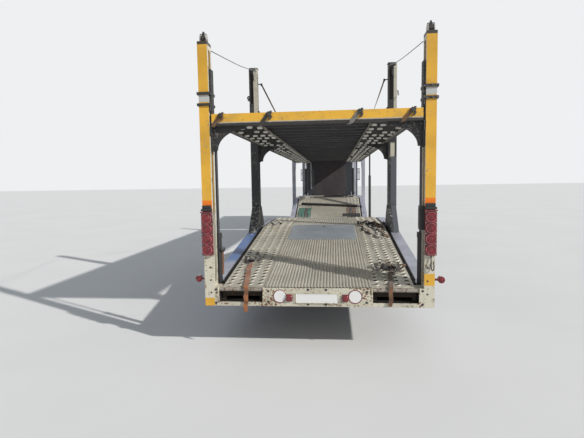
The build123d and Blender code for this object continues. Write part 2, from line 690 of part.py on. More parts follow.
def rim(size, x, s, dish, bore, side):
    """A wheel: its rim well, a coned disc at x-offset dish and a bored hub."""
    w, seat = 0.82 * size["width"] / 2 * side, size["rim"] - seat_gap
    well, d, disc = seat - 16, dish * side, 14 * side
    hub_out, hub_in = d + 60 * side, d - 30 * side
    points = [(-w, seat), (w, seat), (w, well), (d + disc, seat - 40), (d + disc + 30 * side, 0.52 * seat),
              (hub_out, 0.45 * seat), (hub_out, bore), (hub_in, bore), (hub_in, 0.45 * seat),
              (d - 6 * side, 0.5 * seat), (d - 6 * side, seat - 40), (-w, well)]
    face = Plane.XZ * Polygon(*points, align=None)
    wheel = Pos(x, y(s), size["r"]) * revolve(face, axis=Axis.X)
    holes, hole_r, pitch_r = 8, 24, 0.72 * seat
    for i in range(holes):
        a = 2 * pi * i / holes
        hole_x = grown((x + d, x + d), 45)
        wheel -= rod_x(hole_x, s + pitch_r * cos(a), size["r"] + pitch_r * sin(a), hole_r)
    return wheel


def twin_wheels(name, size, twin_x, s, side, bore):
    """Two tyres and two rims that turn together."""
    save(f"{name}_tyres", *[tyre(size, side * x, s) for x in twin_x])
    dishes = (0.2 * size["width"], -0.3 * size["width"])
    save(f"{name}_rims", *[rim(size, side * x, s, dish, bore, side) for x, dish in zip(twin_x, dishes)])


def wheels():
    for label, side in (("left", -1), ("right", 1)):
        for place, s in (("rear", trailer_axles[0]), ("front", trailer_axles[1])):
            twin_wheels(f"trailer_{place}_{label}", trailer_tyre, trailer_twin_x, s, side, trailer_stub_r + hub_gap)
        twin_wheels(f"drive_{label}", tractor_tyre, drive_twin_x, drive_axle, side, drive_stub_r + hub_gap)
        save(f"steer_{label}_tyre", tyre(tractor_tyre, side * steer_wheel_x, front_axle))
        save(f"steer_{label}_rim",
             rim(tractor_tyre, side * steer_wheel_x, front_axle, 0, spindle_r + hub_gap, side))


def tractor_frame():
    """Two channel rails with cross members, the cab's mounts and the walkway behind the cab."""
    x0, x1 = rail_x
    web = rail_thickness
    section = [(x1, rail_z[0]), (x1, rail_z[1]), (x0, rail_z[1]), (x0, rail_z[1] - web), (x1 - web, rail_z[1] - web),
               (x1 - web, rail_z[0] + web), (x0, rail_z[0] + web), (x0, rail_z[0])]
    pieces = both(extrude_y(section, (tractor_rear, rail_front)))
    for s in steps(tractor_rear, cab_rear - 50, 710) + [rail_front - 60]:
        pieces.append(block(span(x1 - web - seat_gap), (s, s + 60), grown(rail_z, -30)))
    for s in (engine_s[0] + 40, engine_s[1] - 100):
        pieces.append(block(span(x1), (s, s + 60), (rail_z[0] - 40, rail_z[0] - seat_gap)))
    on_rail = rail_z[1] + seat_gap
    for s in (cab_rear + 60, door_s[1] - 60):
        pieces += both(block(rail_x, (s, s + 90), (on_rail, cab_floor)))
    pieces.append(block(span(x1), (cab_rear - 900, cab_rear - 60), (on_rail, on_rail + 12)))
    save("tractor_frame", *pieces)


def fifth_wheel():
    """The coupling plate with its mouth, on two pedestals."""
    top = neck_underside - seat_gap
    plate_z_span = (top - fifth_wheel_thickness, top)
    jaw = kingpin_r + 2
    plate = rod_z(0, kingpin_s, plate_z_span, fifth_wheel_r)
    plate &= block(span(450), (kingpin_s - fifth_wheel_r, kingpin_s + 360), plate_z_span)
    plate -= rod_z(0, kingpin_s, grown(plate_z_span, weld_step), jaw)
    mouth_half, mouth_end = 150, kingpin_s - fifth_wheel_r - 20
    mouth = [(-jaw, kingpin_s), (jaw, kingpin_s), (mouth_half, mouth_end), (-mouth_half, mouth_end)]
    plate -= extrude_z(mouth, grown(plate_z_span, weld_step))
    feet = block((rail_x[0] - 40, rail_x[1] - 30), grown((kingpin_s, kingpin_s), 120), (rail_z[1], plate_z_span[0]))
    save("fifth_wheel", fuse([plate] + both(feet)))


def drive_axle_beam():
    """The driven axle with its differential, trailing arms and air bags."""
    r = tractor_tyre["r"]
    pieces = [rod_x(span(drive_twin_x[1] - 60), drive_axle, r, drive_stub_r), rod_x(span(520), drive_axle, r, 80),
              rod_y(0, (drive_axle - 150, drive_axle + 130), r, 200)]
    hanger = (drive_axle + 500, drive_axle + 560)
    arm = [(drive_axle, r - 20), (hanger[1], r + 120), (hanger[1], rail_z[0]), (hanger[0], rail_z[0]),
           (hanger[0] - 80, r + 130), (drive_axle, r + 60)]
    for x in (-spring_x, spring_x):
        side_x = grown((x, x), spring_half)
        pieces.append(rod_z(x, drive_axle - 240, (r + 20, rail_z[0]), 95))
        pieces.append(block(grown(side_x, 15), (drive_axle - 330, drive_axle + 60), (r - 20, r + 30)))
        pieces.append(extrude_x(arm, side_x))
    save("drive_axle", fuse(pieces))


def front_axle_beam():
    """The forged front axle with its kingpin bosses and two leaf springs."""
    r = tractor_tyre["r"]
    reach, half_depth, waist_reach = steer_axis_x, 45, steer_axis_x - 120
    beam = block(span(reach), grown((front_axle, front_axle), half_depth), (r - 65, r + 25))
    for side in (-1, 1):
        flute = on_side(side, (15, half_depth + weld_step))
        beam -= block(span(waist_reach), (front_axle + flute[0], front_axle + flute[1]), (r - 45, r + 5))
    pieces = [beam] + both(rod_z(reach, front_axle, (r - 75, r + 75), 48))
    half = [(620, rail_z[0]), (560, rail_z[0]), (520, r + 130)]
    low = [(600, r + 100)]
    spring = ([(front_axle - d, z) for d, z in half] + [(front_axle, r + 70)]
              + [(front_axle + d, z) for d, z in half[::-1]] + [(front_axle + d, z) for d, z in low]
              + [(front_axle, r + 20)] + [(front_axle - d, z) for d, z in low])
    for x in (-spring_x, spring_x):
        pieces.append(extrude_x(spring, grown((x, x), spring_half)))
    shape = fuse(pieces)
    for x in (-reach, reach):
        shape -= rod_z(x, front_axle, (0, rail_z[1]), pin_r + hub_gap)
    save("front_axle", shape)


def knuckle(label, side):
    """A steering knuckle: two yokes and their pin, a plate and the wheel's spindle."""
    r = tractor_tyre["r"]
    yoke, gap, plate = 32, 80, 26
    low, high = r - gap - yoke, r + gap + yoke
    inner, outer = steer_axis_x - 40, steer_axis_x + 62
    pieces = [rod_z(side * steer_axis_x, front_axle, (low, high), pin_r)]
    for z in ((high - yoke, high), (low, low + yoke)):
        pieces.append(block(on_side(side, (inner, outer + plate)), grown((front_axle, front_axle), 40), z))
    pieces.append(block(on_side(side, (outer, outer + plate)), grown((front_axle, front_axle), 60), (low, high)))
    pieces.append(rod_x(on_side(side, (outer, steer_wheel_x + 60)), front_axle, r, spindle_r))
    save(f"knuckle_{label}", fuse(pieces))


def engine():
    save("engine", block(span(engine_half), engine_s, (rail_z[0], engine_top)))


def side_tanks():
    """A fuel tank on each side, held to the frame by two bearers."""
    section = RectangleRounded(tank_x[1] - tank_x[0], tank_z[1] - tank_z[0], tank_corner)
    face = Plane.XZ.offset(-y(tank_s[0])) * Pos(middle(tank_x), middle(tank_z)) * section
    tank = extrude(face, amount=tank_s[1] - tank_s[0], dir=(0, 1, 0))
    bearer_x, bearer_z = (rail_x[1], tank_x[0] + 5), (rail_z[0] + 30, rail_z[0] + 110)
    bearers = [block(bearer_x, (s, s + 60), bearer_z) for s in (tank_s[0] + 200, tank_s[1] - 260)]
    save("side_tanks", *both(fuse([tank] + bearers)))


def tractor_mudguards():
    """Arched guards over the drive wheels and the lining over the steered ones."""
    outer_r, r = mudguard_r + mudguard_thickness, tractor_tyre["r"]
    pieces = [mudguard_shell(drive_axle, r, outer_r, (585, 1245), mudguard_thickness, 0, 180)]
    stay_r = mudguard_r + mudguard_thickness / 2
    for angle in (32, 148):
        a = radians(angle)
        pieces.append(rod_x((rail_x[1], 1200), drive_axle + stay_r * cos(a), r + stay_r * sin(a), 16))
    liner_x, liner_s = (700, cab_half - 10), (cab_rear + 160, bumper_rear - 30)
    liner_z = (cab_floor - 14, cab_floor - 6)
    liner = block(liner_x, liner_s, liner_z)
    apron = block(liner_x, (liner_s[0], liner_s[0] + 8), (540, liner_z[1]))
    hangers = [block((x, x + 40), (liner_s[0], liner_s[0] + 40), (liner_z[0], cab_floor)) for x in (760, 1120)]
    save("tractor_mudguards", *(both(fuse(pieces)) + both(fuse([liner, apron] + hangers))))


def cab_outline(inset):
    """The cab's side-view outline, moved inward by a wall's thickness."""
    steep = 0.4 * inset
    return [
        (cab_rear + inset, cab_floor + inset),
        (cab_rear + inset, cab_roof - roof_chamfer - steep),
        (cab_rear + roof_chamfer + steep, cab_roof - inset),
        (screen_top_s - steep / 2, cab_roof - inset),
        (screen_top_s + 140 - inset, cab_roof - roof_chamfer - 0.7 * inset),
        (cab_front - 40 - inset, waist),
        (cab_front - inset, waist - 60),
        (cab_front - inset, cab_floor + inset),
    ]


def rounded_front(front, half, corner, z):
    """An upright prism over the cab's plan, its two front corners rounded."""
    rear = cab_rear
    face = Plane.XY.offset(z[0]) * Pos(0, y((rear + front) / 2)) * Rectangle(2 * half, front - rear)
    corners = face.vertices().sort_by(Axis.Y)[-2:]
    return extrude(fillet(corners, corner), amount=z[1] - z[0], dir=(0, 0, 1))


def cab_body(inset):
    """The cab's solid form, drawn in by inset all round."""
    half, s = cab_half - inset, (cab_rear, cab_front)
    z = (cab_floor, cab_roof - inset)
    section = RectangleRounded(2 * half, 2 * (z[1] - z[0]), roof_corner)
    face = Plane.XZ.offset(-y(s[0])) * Pos(0, z[0]) * section
    body = extrude_x(cab_outline(inset), span(half)) & extrude(face, amount=s[1] - s[0], dir=(0, 1, 0))
    return body & rounded_front(cab_front - inset, half, front_corner, z)


def door_hinge_barrels(radius, gap):
    """The round barrels on a right-hand door's hinge axis."""
    return [rod_z(door_axis[0], door_axis[1], grown((z, z + door_barrel_height), gap), radius)
            for z in door_barrels]


def cab_shell():
    """The hollow cab with its door and windscreen openings, and the visor over the windscreen."""
    shell = cab_body(0) - cab_body(cab_wall)
    x = (cab_half - cab_wall - weld_step, cab_half + weld_step)
    recess = fuse([extrude_x(door_outline(0), x)] + door_hinge_barrels(door_barrel_r + running_gap, running_gap))
    for opening in both(recess):
        shell -= opening
    shell -= windscreen_block(0)
    visor_z, reach = cab_roof - 130, 170
    visor = extrude_x([(screen_top_s, visor_z + 60), (screen_top_s + reach + 90, visor_z + 10),
                       (screen_top_s + reach + 90, visor_z - 6), (screen_top_s, visor_z + 20)], span(screen_half))
    save("cab_shell", shell + (visor - cab_body(cab_wall)))


def door_outline(inset):
    """The door's side-view outline, drawn in by inset all round."""
    s0, s1 = grown(door_s, -inset)
    z0, z1 = grown(door_z, -inset)
    return [(s0, z0), (s1, z0), (s1, waist + 100), (s1 - 100, z1), (s0, z1)]


def door_window(inset):
    """The door window's outline, drawn in by inset all round."""
    frame = 110
    s0, s1 = grown(door_s, -frame - inset)
    z0, z1 = waist + 60 + inset, door_z[1] - frame - inset
    return [(s0, z0), (s1, z0), (s1 - 60, z1), (s0, z1)]


def windscreen_block(inset):
    """The windscreen's opening, cut square to the front."""
    s = (screen_top_s - 120, cab_front + weld_step)
    return block(span(screen_half - inset), s, (waist + 70 + inset, cab_roof - 150 - inset))


def doors():
    """Each door with its hinge barrels and mirror, and its glass."""
    x, glass_x = (cab_half - cab_wall, cab_half), (cab_half - 30, cab_half - 25)
    for label, side in (("left", -1), ("right", 1)):
        door = extrude_x(door_outline(door_gap), x) - extrude_x(door_window(0), grown(x, weld_step))
        arm_s = (mirror_s[0] + 20, mirror_s[1] - 20)
        arms = [block((cab_half, cab_half + 60), arm_s, (z, z + 30)) for z in (1960, 2440)]
        housing = block((cab_half + 60, cab_half + mirror_reach), mirror_s, mirror_z)
        pieces = fuse([door, housing] + arms + door_hinge_barrels(door_barrel_r, 0))
        glass = extrude_x(door_window(seat_gap), glass_x)
        save(f"door_{label}", both(pieces)[side < 0])
        save(f"door_glass_{label}", both(glass)[side < 0])


def windscreen():
    pane = cab_body(20) - cab_body(26)
    save("windscreen", (pane & windscreen_block(seat_gap)).solids().sort_by(Axis.Y)[-1])


def bumper():
    """The bumper, wrapping round to the steps, with its lamps let in."""
    rear, low, high = bumper_rear, bumper_z[0], bumper_z[1]
    lip = tractor_front - cab_front
    outline = [(rear, low), (tractor_front - lip, low), (tractor_front, low + 80), (tractor_front, high - 180),
               (cab_front, high), (rear, high)]
    front = rounded_front(tractor_front, cab_half, front_corner, bumper_z)
    shape = extrude_x(outline, span(cab_half)) & front
    inner = rounded_front(cab_front - bumper_wall, cab_half - bumper_wall, front_corner, grown(bumper_z, weld_step))
    shape -= inner & block(span(cab_half), (rear - weld_step, cab_front), grown(bumper_z, weld_step))
    for z in step_heights:
        well = block((cab_half - bumper_wall + 8, cab_half + weld_step), (rear + step_s[0], rear + step_s[1]),
                     (z, z + step_depth))
        for cut in both(well):
            shape -= cut
    lamp_s = (tractor_front - lamp_depth, tractor_front + weld_step)
    for x in (lamp_x, swap(lamp_x)):
        shape -= block(x, (lamp_s[0] - seat_gap, lamp_s[1]), lamp_z)
    horns = both(block(rail_x, (rail_front, cab_front - bumper_wall), grown(rail_z, -20)))
    save("bumper", shape + fuse(horns))
    lamp = block(grown(lamp_x, -seat_gap), lamp_s, grown(lamp_z, -seat_gap)) & front
    save("headlamps", *both(lamp))


def grille():
    """The slatted panel under the windscreen."""
    shape = block(span(grille_half), (cab_front, cab_front + grille_depth), grille_z)
    pitch = (grille_z[1] - grille_z[0]) / grille_bars
    slat = 18
    for i in range(grille_bars):
        z = grille_z[0] + pitch * i + slat
        shape -= block(span(grille_half - 50), (cab_front + 12, cab_front + grille_depth + weld_step),
                       (z, z + pitch - 2 * slat))
    save("grille", shape)


def seats():
    floor = cab_floor + cab_wall
    cushion_top, back_top = floor + seat_height, floor + seat_back_height
    back = [(seat_s[0], cushion_top), (seat_s[0] + 130, cushion_top), (seat_s[0] + 50, back_top),
            (seat_s[0] - 80, back_top)]
    pieces = []
    for x in (driver_x, -driver_x):
        width = grown((x, x), seat_half)
        pieces.append(block(width, seat_s, (floor, cushion_top)) + extrude_x(back, width))
    save("seats", *pieces)


def dashboard():
    """The dashboard with the steering column and an octagonal-section wheel rim."""
    front = cab_front - 40 - cab_wall - running_gap
    low, brow, edge = cab_floor + cab_wall + 350, cab_front - 220, cab_front - 390
    dash = extrude_x([(cab_front - 320, low), (front, low), (front, waist - 30), (brow, waist), (edge, waist - 90)],
                     span(cab_half))
    dash &= cab_body(cab_wall + seat_gap)
    lean = radians(steer_column_lean)
    hub_s, hub_z = steer_hub
    half = steer_column_length / 2
    column_at = Pos(driver_x, y(hub_s + half * sin(lean)), hub_z - half * cos(lean))
    column = column_at * Rot(steer_column_lean, 0, 0) * Cylinder(24, steer_column_length)
    hub = Pos(driver_x, y(hub_s), hub_z) * Rot(steer_column_lean, 0, 0)
    rim_section = Plane.XZ * Pos(steer_wheel_r, 0) * RegularPolygon(16, 8)
    wheel = hub * revolve(rim_section, axis=Axis.Z)
    spokes = hub * Box(2 * steer_wheel_r - 20, 50, 18)
    save("dashboard", fuse([dash, column, wheel, spokes]))


def ramps():
    """Two loading ramps stowed in the tail: side rails, rungs and a top sheet."""
    run = (ramp_tail, ramp_tail + ramp_length)
    rail = block((ramp_x[0], ramp_x[0] + ramp_rail), run, ramp_z)
    other = block((ramp_x[1] - ramp_rail, ramp_x[1]), run, ramp_z)
    sheet = block(ramp_x, run, (ramp_z[1] - sheet_thickness, ramp_z[1]))
    rungs = [block(ramp_x, (s, s + 40), (ramp_z[0] + 40, ramp_z[1]))
             for s in steps(run[0], run[1] - 40, ramp_rung_pitch)]
    ramp = fuse([rail, other, sheet] + rungs)
    for label, side in (("left", -1), ("right", 1)):
        save(f"ramp_{label}", both(ramp)[side < 0])


trailer_frame()
cross_members()
gooseneck()
lower_deck()
rear_posts()
mid_posts()
front_posts()
tail_beam()
lift_barrels()
lift_rods()
upper_deck()
carriages()
upper_cross_members()
upper_tracks()
front_platform()
platform_tracks()
tilt_barrels()
tilt_rods()
tail_lamps()
trailer_axle_beams()
trailer_mudguards()
landing_legs()
wheels()
tractor_frame()
fifth_wheel()
drive_axle_beam()
front_axle_beam()
knuckle("left", -1)
knuckle("right", 1)
engine()
side_tanks()
tractor_mudguards()
cab_shell()
doors()
windscreen()
bumper()
grille()
seats()
dashboard()
ramps()
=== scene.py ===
import random
from itertools import product
from math import cos, pi, radians, sin

import bmesh
import bpy
from mathutils import Matrix, Vector
from mathutils.bvhtree import BVHTree


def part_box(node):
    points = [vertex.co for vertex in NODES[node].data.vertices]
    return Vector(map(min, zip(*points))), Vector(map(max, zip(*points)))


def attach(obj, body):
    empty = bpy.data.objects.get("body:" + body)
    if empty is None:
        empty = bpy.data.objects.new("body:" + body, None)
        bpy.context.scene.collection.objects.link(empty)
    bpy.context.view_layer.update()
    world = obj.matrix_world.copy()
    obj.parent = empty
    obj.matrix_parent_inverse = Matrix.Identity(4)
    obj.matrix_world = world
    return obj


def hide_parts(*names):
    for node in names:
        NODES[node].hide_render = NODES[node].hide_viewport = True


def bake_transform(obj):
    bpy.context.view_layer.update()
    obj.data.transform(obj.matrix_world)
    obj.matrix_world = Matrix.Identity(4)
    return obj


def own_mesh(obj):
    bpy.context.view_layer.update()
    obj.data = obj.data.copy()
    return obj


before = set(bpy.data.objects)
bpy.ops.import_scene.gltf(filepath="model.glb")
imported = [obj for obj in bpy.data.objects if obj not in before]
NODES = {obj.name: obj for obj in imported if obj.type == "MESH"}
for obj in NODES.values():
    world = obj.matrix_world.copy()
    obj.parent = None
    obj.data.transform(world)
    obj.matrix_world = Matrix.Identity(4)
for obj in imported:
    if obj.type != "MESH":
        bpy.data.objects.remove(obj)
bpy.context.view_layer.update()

SIDES = (("left", -1), ("right", 1))

# Stations s are measured forward from the rear face of the rear posts, in metres.
TAIL_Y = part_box("rear_posts")[0][1]


def stations(node):
    """A node's first and last station."""
    low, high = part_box(node)
    return low[1] - TAIL_Y, high[1] - TAIL_Y


DECK_LINE = [(0.0, 0.760), (3.0, 1.130), (4.85, 1.130), (6.8, 0.820), (9.3, 0.740), (9.7, 0.740),
             (11.2, 1.300), (13.9, 1.300)]
BEAM_LINE = [(0.0, 0.550), (2.10, 0.550), (2.48, 0.800), (4.88, 0.800), (6.80, 0.560), (9.30, 0.500),
             (9.70, 0.500), (11.2, 1.100), (13.9, 1.100)]
DECK_START, DECK_END = 0.185, 13.815
TRACK_START, CENTRE_START = 0.060, 0.004
TRACK_IN, TRACK_OUT, UPPER_TRACK_OUT = 0.600, 1.070, 1.030
UPPER_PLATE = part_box("upper_tracks")[1][2]
PLATFORM_REAR, PLATFORM_PLATE, PLATFORM_SLOPE = stations("platform_tracks")[0], 2.660, 0.0783
ROLLER_S, ROLLER_Z, ROLLER_R, ROLLER_HALF = 0.025, 0.735, 0.0212, 0.246
STAY_FOOT, PROP_S = 5.40, 6.40
LAMP_X, LAMP_FACE = 1.215, -0.060
BEAM_X = 1.270
FRONT_AXLE, DRIVE_AXLE, TRAILER_AXLES = 16.100, 12.350, (3.0, 4.35)
CAB_REAR, CAB_FRONT = stations("cab_shell")[0], 17.470
DOOR_X = 1.240
TRAILER_TYRE = dict(r=0.395, w=0.240, rim=0.222)
TRACTOR_TYRE = dict(r=0.475, w=0.300, rim=0.286)
TREAD_LUGS = 48


def p(x, s, z):
    """A point from x, station and height."""
    return Vector((x, s + TAIL_Y, z))


def on_side(side, a, b):
    """A span of x given for the right, moved to the left where side is -1."""
    return sorted((side * a, side * b))


def line_height(line, s):
    """Height of a line of (station, height) points at station s."""
    for (s0, z0), (s1, z1) in zip(line, line[1:]):
        if s <= s1:
            return z0 + (z1 - z0) * (s - s0) / (s1 - s0)
    return line[-1][1]


def deck_height(s):
    """Height of the lower deck's surface at station s."""
    return line_height(DECK_LINE, s)


def cover_height(s):
    """Height of the middle sheet, which also lies over the tail beam."""
    return max(deck_height(s), deck_height(0) + 0.012)


def upper_height(s):
    """Height of the upper deck's sheets."""
    return UPPER_PLATE


def platform_height(s):
    """Height of the platform's sheets at station s."""
    return PLATFORM_PLATE + PLATFORM_SLOPE * (s - PLATFORM_REAR)


def on_deck(x, s, lift):
    """A point above the lower deck."""
    return p(x, s, deck_height(s) + lift)


def put(tree, value, socket):
    """Links an output to a socket, or sets a plain value, with alpha 1 for a colour."""
    if isinstance(value, bpy.types.NodeSocket):
        tree.links.new(value, socket)
    elif isinstance(value, (tuple, list)):
        socket.default_value = (*value, 1.0)[:len(socket.default_value)]
    else:
        socket.default_value = value


def new_node(tree, kind, *inputs, **sockets):
    """A shader node with its inputs put in by order, or by name with _ for a space."""
    node = tree.nodes.new("ShaderNode" + kind)
    for key, value in (*enumerate(inputs), *sockets.items()):
        put(tree, value, node.inputs[key.replace("_", " ") if isinstance(key, str) else key])
    return node


class Shader:
    """A node material, built up from a Principled shader whose fixed values sit on its own sockets."""

    def __init__(self, name, roughness=0.5, metallic=0.0, **sockets):
        self.material = bpy.data.materials.new(name)
        self.material.use_nodes = True
        self.tree = self.material.node_tree
        self.tree.nodes.clear()
        self.bsdf = self.node("BsdfPrincipled", Roughness=roughness, Metallic=metallic, **sockets)
        self.node("OutputMaterial", self.bsdf.outputs[0])
        self.coordinates = self.node("TexCoord").outputs
        self.x, self.y, self.z = self.node("SeparateXYZ", self.coordinates["Object"]).outputs
        self.nx, _, self.nz = self.node("SeparateXYZ", self.coordinates["Normal"]).outputs

    def node(self, kind, *inputs, **sockets):
        return new_node(self.tree, kind, *inputs, **sockets)

    def noise(self, scale, detail=4.0, rough=0.6, stretch=(1, 1, 1), shift=0.0):
        place = self.node("Mapping", self.coordinates["Object"], Scale=stretch,
                          Location=(shift, shift * 0.7, shift * 1.3))
        texture = self.node("TexNoise", place.outputs[0], Scale=scale, Detail=detail, Roughness=rough)
        return texture.outputs["Fac"]

    def math(self, kind, a, b=0.0, *more):
        """A Math node on two values, and one more for each further value."""
        for value in (b, *more):
            node = self.node("Math", a, value)
            node.operation = kind
            a = node.outputs[0]
        return a

    def times(self, *values):
        return self.math("MULTIPLY", *values)

    def plus(self, *values):
        return self.math("ADD", *values)

    def most(self, *values):
        return self.math("MAXIMUM", *values)

    def step(self, value, low, high):
        """0 below low, 1 above high and smooth between; swapped limits turn it round."""
        flip = low > high
        node = self.node("MapRange", Value=value, From_Min=min(low, high), From_Max=max(low, high),
                         To_Min=float(flip), To_Max=float(not flip))
        node.interpolation_type = "SMOOTHSTEP"
        return node.outputs[0]

    def band(self, value, low, high, soft=0.004):
        """1 between low and high."""
        return self.times(self.step(value, low - soft, low + soft),
                          self.step(value, high + soft, high - soft))

    def wave(self, axis, pitch):
        """A ridge profile, 0 to 1, that repeats along an axis socket every pitch metres."""
        return self.plus(self.times(self.math("SINE", self.times(axis, 2 * pi / pitch)), 0.5), 0.5)

    def mix(self, factor, a, b):
        node = self.node("Mix", factor)
        node.data_type = "RGBA"
        put(self.tree, a, node.inputs[6])
        put(self.tree, b, node.inputs[7])
        return node.outputs[2]

    def stain(self, under, over, value, low, high, strength=None):
        """Colour over on colour under where a value steps up from low to high."""
        where = self.step(value, low, high)
        return self.mix(where if strength is None else self.times(where, strength), under, over)

    def surface(self, colour, rough=None, bump=None, distance=0.001, strength=0.6):
        """Links colour, roughness and bump height, and keeps the colour as base."""
        self.base = colour
        put(self.tree, colour, self.bsdf.inputs["Base Color"])
        if rough is not None:
            put(self.tree, rough, self.bsdf.inputs["Roughness"])
        if bump is not None:
            node = self.node("Bump", Strength=strength, Distance=distance, Height=bump)
            put(self.tree, node.outputs[0], self.bsdf.inputs["Normal"])
        return self


RUST = (0.13, 0.045, 0.018)
DIRT = (0.16, 0.125, 0.09)
YELLOW = (0.80, 0.44, 0.045)
CREAM = (0.63, 0.60, 0.49)
GREASE = (0.035, 0.033, 0.03)
UPPER_BLACK = dict(base=(0.03, 0.03, 0.03), under=(0.2, 0.19, 0.17), chip=0.66, dirt=0.35, roughness=0.6)


def dim(colour, share, lift=0.0):
    return tuple(share * c + lift for c in colour)


def worn_paint(name, base, under, chip=0.64, dirt=0.45, roughness=0.42, scale=1.0):
    """Paint with patchy tone, road dirt, chips down to under and rust in the deepest of them."""
    s = Shader(name, roughness)
    tone, grime = s.noise(1.7 * scale, 5), s.noise(6 * scale, 8, 0.72, shift=3.0)
    flakes, patch = s.noise(38 * scale, 6, 0.68, shift=7.0), s.noise(3.1 * scale, 3, shift=11.0)
    paint = s.stain(base, dim(base, 0.72), tone, 0.35, 0.7)
    paint = s.stain(paint, DIRT, grime, 0.5, 0.78, dirt)
    worn = s.plus(flakes, s.times(s.step(patch, 0.4, 0.7), 0.12))
    paint = s.stain(paint, under, worn, chip, chip + 0.02)
    paint = s.stain(paint, RUST, worn, chip + 0.05, chip + 0.09)
    height = s.math("SUBTRACT", s.times(grime, 0.3), s.step(worn, chip, chip + 0.02))
    return s.surface(paint, s.plus(s.times(grime, 0.4), roughness - 0.16), height, 0.0006)


def post_paint():
    """Yellow rear posts: cream inner sides and chipped feet, an amber patch, a grey band and grey heads."""
    s = worn_paint("post_yellow", YELLOW, (0.45, 0.36, 0.2), chip=0.67, dirt=0.25)
    speck, chips = s.noise(30, 5, 0.6, shift=21), s.noise(14, 8, 0.75, shift=33)
    cream = s.stain(CREAM, (0.30, 0.24, 0.16), chips, 0.56, 0.6)
    cream = s.stain(cream, RUST, speck, 0.66, 0.7)
    inward = s.step(s.times(s.nx, s.x), -0.4, -0.8)
    foot = s.step(s.plus(s.z, s.times(chips, 0.06)), 1.66, 1.63)
    left, right = s.step(s.x, 0.1, -0.1), s.step(s.x, -0.1, 0.1)
    spared = s.most(s.times(s.band(s.z, 0.545, 0.640), left), s.times(s.band(s.z, 0.795, 0.925), right))
    paint = s.mix(s.most(inward, s.times(foot, s.math("SUBTRACT", 1.0, spared))), s.base, cream)
    paint = s.mix(s.band(s.z, 2.822, 2.898), paint, (0.50, 0.51, 0.50))
    head = s.stain((0.47, 0.46, 0.43), (0.12, 0.10, 0.08), chips, 0.50, 0.57)
    head = s.mix(s.band(s.math("ABSOLUTE", s.x), 1.199, 1.231), head, GREASE)
    paint = s.stain(paint, head, s.z, 3.466, 3.472)
    paint = s.mix(s.most(s.band(s.z, 3.436, 3.470), s.step(s.z, 3.556, 3.562)), paint, GREASE)
    amber = s.times(s.band(s.z, 1.652, 1.745), s.step(s.y, TAIL_Y + 0.006, TAIL_Y + 0.002))
    return s.surface(s.mix(amber, paint, (0.85, 0.20, 0.01)))


def black_post_paint():
    """Mid posts: black, with pale bared patches at the foot and painted sunlight in cream on the slot's
    right-facing side and the right post's outer half, high up.
    """
    s = worn_paint("post_black", (0.022, 0.023, 0.026), (0.32, 0.30, 0.24), chip=0.70, dirt=0.35,
                   roughness=0.5)
    chips = s.noise(16, 8, 0.75, shift=5)
    low = s.times(s.step(s.z, 1.75, 1.35), s.step(chips, 0.52, 0.58))
    paint = s.mix(low, s.base, (0.34, 0.35, 0.31))
    left = s.times(s.step(s.x, -1.196, -1.190), s.step(s.x, 0.1, -0.1))
    # Painted sunlight: cream on the halves of the posts that face the sun, from 2.76 m up, broken by chip
    # noise.
    painted_sunlit_sides = s.times(s.step(s.z, 2.70, 2.76), s.most(left, s.step(s.x, 1.215, 1.221)),
                   s.step(chips, 0.62, 0.58))
    patch = s.times(s.band(s.z, 2.34, 2.57, 0.02), s.band(s.x, 1.165, 1.235))
    paint = s.mix(s.times(s.step(s.x, 1.170, 1.176), s.step(s.z, 2.36, 2.30)), paint, (0.085, 0.095, 0.11))
    return s.surface(s.mix(s.most(painted_sunlit_sides, patch), paint, (0.50, 0.47, 0.38)))


def deck_metal():
    """Bare deck sheet: grey-beige, with rust-brown dirt where wheels and chains have been."""
    s = Shader("deck_sheet", 0.5, 0.35)
    tone, dust = s.noise(1.1, 5), s.noise(5.0, 9, 0.75, (1, 0.35, 1), 4.0)
    rust, speck = s.noise(2.3, 8, 0.78, (1.3, 0.6, 1), 9.0), s.noise(55, 4, 0.6, shift=2.0)
    sheet = s.stain((0.61, 0.58, 0.50), (0.47, 0.45, 0.39), tone, 0.35, 0.65)
    sheet = s.stain(sheet, (0.44, 0.37, 0.27), dust, 0.42, 0.72, 0.5)
    sheet = s.stain(sheet, (0.16, 0.075, 0.035), rust, 0.58, 0.7, 0.75)
    sheet = s.stain(sheet, (0.10, 0.07, 0.05), speck, 0.66, 0.72, 0.5)
    return s.surface(sheet, s.plus(s.times(dust, 0.35), 0.38), s.plus(dust, speck), 0.0008)


def smooth_sheet():
    """The flat bluish sheet let into the middle of the hump."""
    s = Shader("hump_sheet", 0.45, 0.25)
    wipe = s.noise(9, 6, 0.7, (2.4, 0.3, 1), 1.0)
    sheet = s.stain((0.47, 0.52, 0.58), (0.36, 0.40, 0.45), s.noise(2, 4, shift=6), 0.3, 0.7)
    return s.surface(s.stain(sheet, (0.36, 0.33, 0.28), wipe, 0.5, 0.75, 0.5), None, wipe, 0.0006)


def rubber():
    s = Shader("tyre_rubber", 0.82)
    dust, fine = s.noise(7, 7, 0.7), s.noise(120, 3, 0.6, shift=3)
    tone = s.stain((0.018, 0.018, 0.019), (0.085, 0.078, 0.066), dust, 0.4, 0.7, 0.6)
    return s.surface(tone, None, s.plus(dust, s.times(fine, 0.4)), 0.0008)


def plastic(name, base, roughness=0.55):
    """Moulded plastic with a fine grain and a film of dust on top."""
    s = Shader(name, roughness)
    dust, grain = s.noise(5, 6, 0.7), s.noise(260, 2, 0.5, shift=2)
    film = s.times(s.step(dust, 0.35, 0.7), s.step(s.nz, 0.3, 0.9), 0.55)
    tone = s.mix(film, base, dim(base, 0.5, 0.09))
    return s.surface(tone, s.plus(s.times(dust, 0.2), roughness - 0.1), grain, 0.0004)


